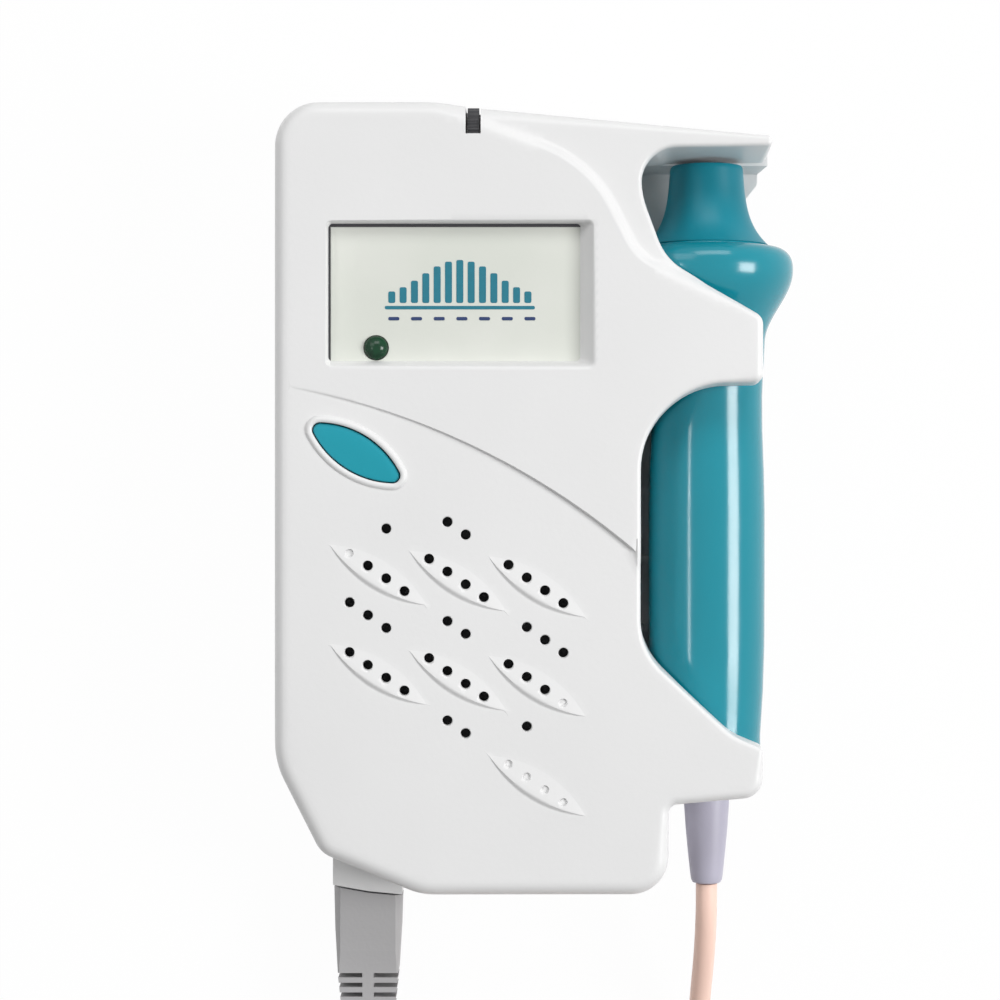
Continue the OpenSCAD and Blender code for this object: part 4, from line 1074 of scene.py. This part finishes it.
# How far the outline grows, and the height
cap_steps = [(0.8, FLANGE_Z), (0.8, FLANGE_Z + 1.0), (0.75, FLANGE_Z + 1.05), (0, FLANGE_Z + 1.05),
             (0, BUTTON_TOP - 0.3), (-0.04, BUTTON_TOP - 0.14), (-0.14, BUTTON_TOP - 0.04),
             (-0.3, BUTTON_TOP), (-0.8, BUTTON_TOP + 0.05), (-1.0, BUTTON_TOP + 0.07)]
cap = stacked([[(*p, z) for p in placed(almond_ring(grow), BUTTON_AT, BUTTON_TURN)]
               for grow, z in cap_steps])
stem = prism(circle(*BUTTON_AT, STEM_R), STEM_Z, FLANGE_Z)
button_cap = mesh_object("button_cap", *joined(cap, stem))
dress(button_cap, button_teal)
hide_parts("power_button")
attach(button_cap, "button")

# The volume wheel: a ribbed disc, with the shaft that turns in the control

RIBS = 36
RIB_DEPTH = 0.22
WHEEL_RIM = 7.5
SHAFT_R = 1.5
SHAFT_L = 3
rim = []
for k in range(4 * RIBS):
    a = 2 * math.pi * k / (4 * RIBS)
    r = WHEEL_RIM - RIB_DEPTH * (k % 4 in (0, 1))
    rim.append((r * math.cos(a), r * math.sin(a)))
disc = turned(prism(rim, 0, WHEEL_T), "x", (WHEEL_AT[0] - WHEEL_T / 2, *WHEEL_AT[1:]))
shaft = rod("x", (WHEEL_AT[0] + WHEEL_T / 2, *WHEEL_AT[1:]), SHAFT_R, SHAFT_L)
wheel = mesh_object("ribbed_wheel", *joined(disc, shaft))
dress(wheel, dark_plastic)
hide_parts("volume_wheel")
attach(wheel, "wheel")

# Print on the display: level bars on a line, with a row of ticks under it

PRINT_Z = CEILING + 0.02
PRINT_T = 0.03
PRINT_X = WINDOW_AT[0] - 12.2  # left of the first bar
BARS = 13
BAR_STEP = 1.95
BAR_FOOT = 33.6
BAR_TOP = 35.4  # of the lowest bar
LEVEL = 5.6
LINE = (32.5, 33.1)  # from and to, upwards
TICKS = (30.6, 31.2)


def bar(x0, x1, y0, y1, r):
    return prism(rounded_box(x0, x1, y0, y1, r, 30), PRINT_Z, PRINT_Z + PRINT_T)


levels = []
for k in range(BARS):
    x = PRINT_X + BAR_STEP * k
    top = BAR_TOP + LEVEL * math.sin(math.pi * (k + 0.8) / (BARS + 0.6)) ** 2
    levels.append(bar(x, x + 1.2, BAR_FOOT, top, 0.3))
levels.append(bar(PRINT_X - 0.6, PRINT_X + BAR_STEP * BARS - 0.15, *LINE, 0.25))
ticks = [bar(x, x + 1.9, *TICKS, 0.25) for x in (PRINT_X + 2 * BAR_STEP * k for k in range(7))]
for name, parts, skin in (("level_bars", levels, print_teal), ("tick_row", ticks, print_navy)):
    made = mesh_object(name, *joined(*parts))
    dress(made, skin)
    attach(made, "unit")

# Painted shade: a dark strip under the edge of the display's recess, which shows as a dark line at the top
# and the left of it in place of the walls' shadow

SHADE_STRIP_LAP = 0.6
SHADE_STRIP = (1.35, 1.0, 1.2, 1.5)  # its width at the left, right, bottom and top
x0, x1 = WINDOW_AT[0] - WINDOW[0] / 2 - SHADE_STRIP_LAP, WINDOW_AT[0] + WINDOW[0] / 2 + SHADE_STRIP_LAP
y0, y1 = WINDOW_AT[1] - WINDOW[1] / 2 - SHADE_STRIP_LAP, WINDOW_AT[1] + WINDOW[1] / 2 + SHADE_STRIP_LAP
shade_strip_outline = [(x0, y0), (x1, y0), (x1, y1), (x0, y1)]
shade_strip_hole = [(x0 + SHADE_STRIP[0], y0 + SHADE_STRIP[2]), (x1 - SHADE_STRIP[1], y0 + SHADE_STRIP[2]), (x1 - SHADE_STRIP[1], y1 - SHADE_STRIP[3]),
             (x0 + SHADE_STRIP[0], y1 - SHADE_STRIP[3])]
rings = [[(x, y, z) for x, y in ring] for ring in (shade_strip_outline, shade_strip_hole)
         for z in (CEILING - 0.2, CEILING + 0.12)]
shade_strip_points = [p for ring in rings for p in ring]
shade_strip_faces = []
for a, b in ((0, 1), (1, 3), (3, 2), (2, 0)):
    shade_strip_faces += [(4 * a + i, 4 * a + (i + 1) % 4, 4 * b + (i + 1) % 4, 4 * b + i) for i in range(4)]
# A dark sheet that paints the shade of the recess's top and left walls
recess_shade_strip = mesh_object("display_painted_shade", shade_strip_points, shade_strip_faces)
dress(recess_shade_strip, dark_plastic)
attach(recess_shade_strip, "unit")

# Finishes of the pieces that keep their solids

finishes = {
    "battery_door": housing_white, "display_panel": panel_pale, "led_lens": green_lamp,
    "main_board": board_green, "board_chips": chip_black, "board_screws": steel,
    "power_switch": dark_plastic, "volume_pot": dark_plastic, "headphone_jack": dark_plastic,
    "speaker_frame": steel,
    "speaker_cone": paper_dark, "speaker_magnet": magnet_grey, "speaker_cloth": cloth_black,
    "battery_cells": cell_skin, "battery_springs": steel, "battery_plates": steel,
    "probe_socket": dark_plastic, "socket_contacts": gold, "case_screws": steel,
    "probe_lens": lens_grey, "probe_crystals": crystal_cream, "probe_backing": chip_black,
    "probe_board": board_green, "plug_body": plug_grey, "plug_shell": steel, "plug_contacts": gold}
rounded = {"battery_door": 0.3, "plug_body": 0.22, "plug_shell": 0.15, "headphone_jack": 0.15,
           "case_screws": 0.15, "display_panel": 0.1, "probe_socket": 0.15, "battery_cells": 0.3}
for node, skin in finishes.items():
    obj = nodes[node]
    dress(obj, skin)
    weld = obj.modifiers.new("weld", "WELD")
    weld.merge_threshold = 0.001 * MM
    if node in rounded:
        edge = obj.modifiers.new("edge", "BEVEL")
        edge.width = rounded[node] * MM
        edge.segments = 3
        edge.limit_method = "ANGLE"
        edge.angle_limit = math.radians(35)
        edge.use_clamp_overlap = True
    smooth = obj.modifiers.new("normals", "WEIGHTED_NORMAL")
    smooth.keep_sharp = True

# Floor, world and lamps

FLOOR = 3000
floor = mesh_object("floor", [(x * FLOOR, y * FLOOR, -0.3) for x, y in ((-1, -1), (1, -1), (1, 1), (-1, 1))],
                    [(0, 1, 2, 3)])


def floor_finish():
    """White where it is seen or reflected, with a part of the object's shadow."""
    f = Finish("floor_white")
    f.set(Base_Color=(0.86, 0.86, 0.86), Roughness=0.9)
    glow = f.node("ShaderNodeEmission", {}, {"Color": (1.0, 1.0, 1.0), "Strength": 1.0})
    path = f.tree.nodes.new("ShaderNodeLightPath")
    seen = f.node("ShaderNodeMath", {"operation": "MAXIMUM"},
                  {0: Value(f, path.outputs["Is Camera Ray"]), 1: Value(f, path.outputs["Is Glossy Ray"])})
    seen = f.node("ShaderNodeMath", {"operation": "MAXIMUM"},
                  {0: seen, 1: Value(f, path.outputs["Is Transmission Ray"])})
    mixed = f.node("ShaderNodeMixShader", {}, {0: seen * 0.97, 1: Value(f, f.shader.outputs[0]), 2: glow})
    out = f.tree.nodes["Material Output"]
    f.tree.links.new(mixed.socket, out.inputs["Surface"])
    return f.material


dress(floor, floor_finish())

world = bpy.data.worlds.new("world")
bpy.context.scene.world = world
world.use_nodes = True
sky = world.node_tree
back = sky.nodes["Background"]
back.inputs["Color"].default_value = (1, 1, 1, 1)
path = sky.nodes.new("ShaderNodeLightPath")
level = sky.nodes.new("ShaderNodeMapRange")
level.inputs[3].default_value = 0.2
level.inputs[4].default_value = 1.0
shown = path.outputs["Is Camera Ray"]
for ray in ("Is Glossy Ray", "Is Transmission Ray"):
    either = sky.nodes.new("ShaderNodeMath")
    either.operation = "MAXIMUM"
    sky.links.new(shown, either.inputs[0])
    sky.links.new(path.outputs[ray], either.inputs[1])
    shown = either.outputs[0]
sky.links.new(shown, level.inputs[0])
sky.links.new(level.outputs[0], back.inputs["Strength"])


MIDDLE = Vector((0, 0, 0.02))


def lamp(name, direction, distance, size, power):
    """A rectangular lamp that faces the object from a direction. Its long side lies along Y."""
    data = bpy.data.lights.new(name, "AREA")
    data.shape = "RECTANGLE"
    data.size, data.size_y = size
    data.energy = power
    obj = bpy.data.objects.new(name, data)
    bpy.context.scene.collection.objects.link(obj)
    z = Vector(direction).normalized()
    x = Vector((0, 1, 0)).cross(z).normalized()
    turn = Matrix((x, z.cross(x), z)).transposed().to_4x4()
    obj.matrix_world = Matrix.Translation(MIDDLE + z * distance) @ turn


lamp("right_box", (0.78, -0.03, 0.62), 1.1, (0.42, 0.4), 8.6)
lamp("left_strip", (-0.6, -0.03, 0.78), 1.1, (0.05, 0.3), 1.0)
lamp("left_box", (-0.55, 0.5, 0.7), 1.3, (0.8, 0.6), 2.8)
lamp("top_box", (0.1, 0.8, 0.72), 1.3, (0.9, 0.5), 6.0)

bpy.context.scene.view_settings.view_transform = "Standard"
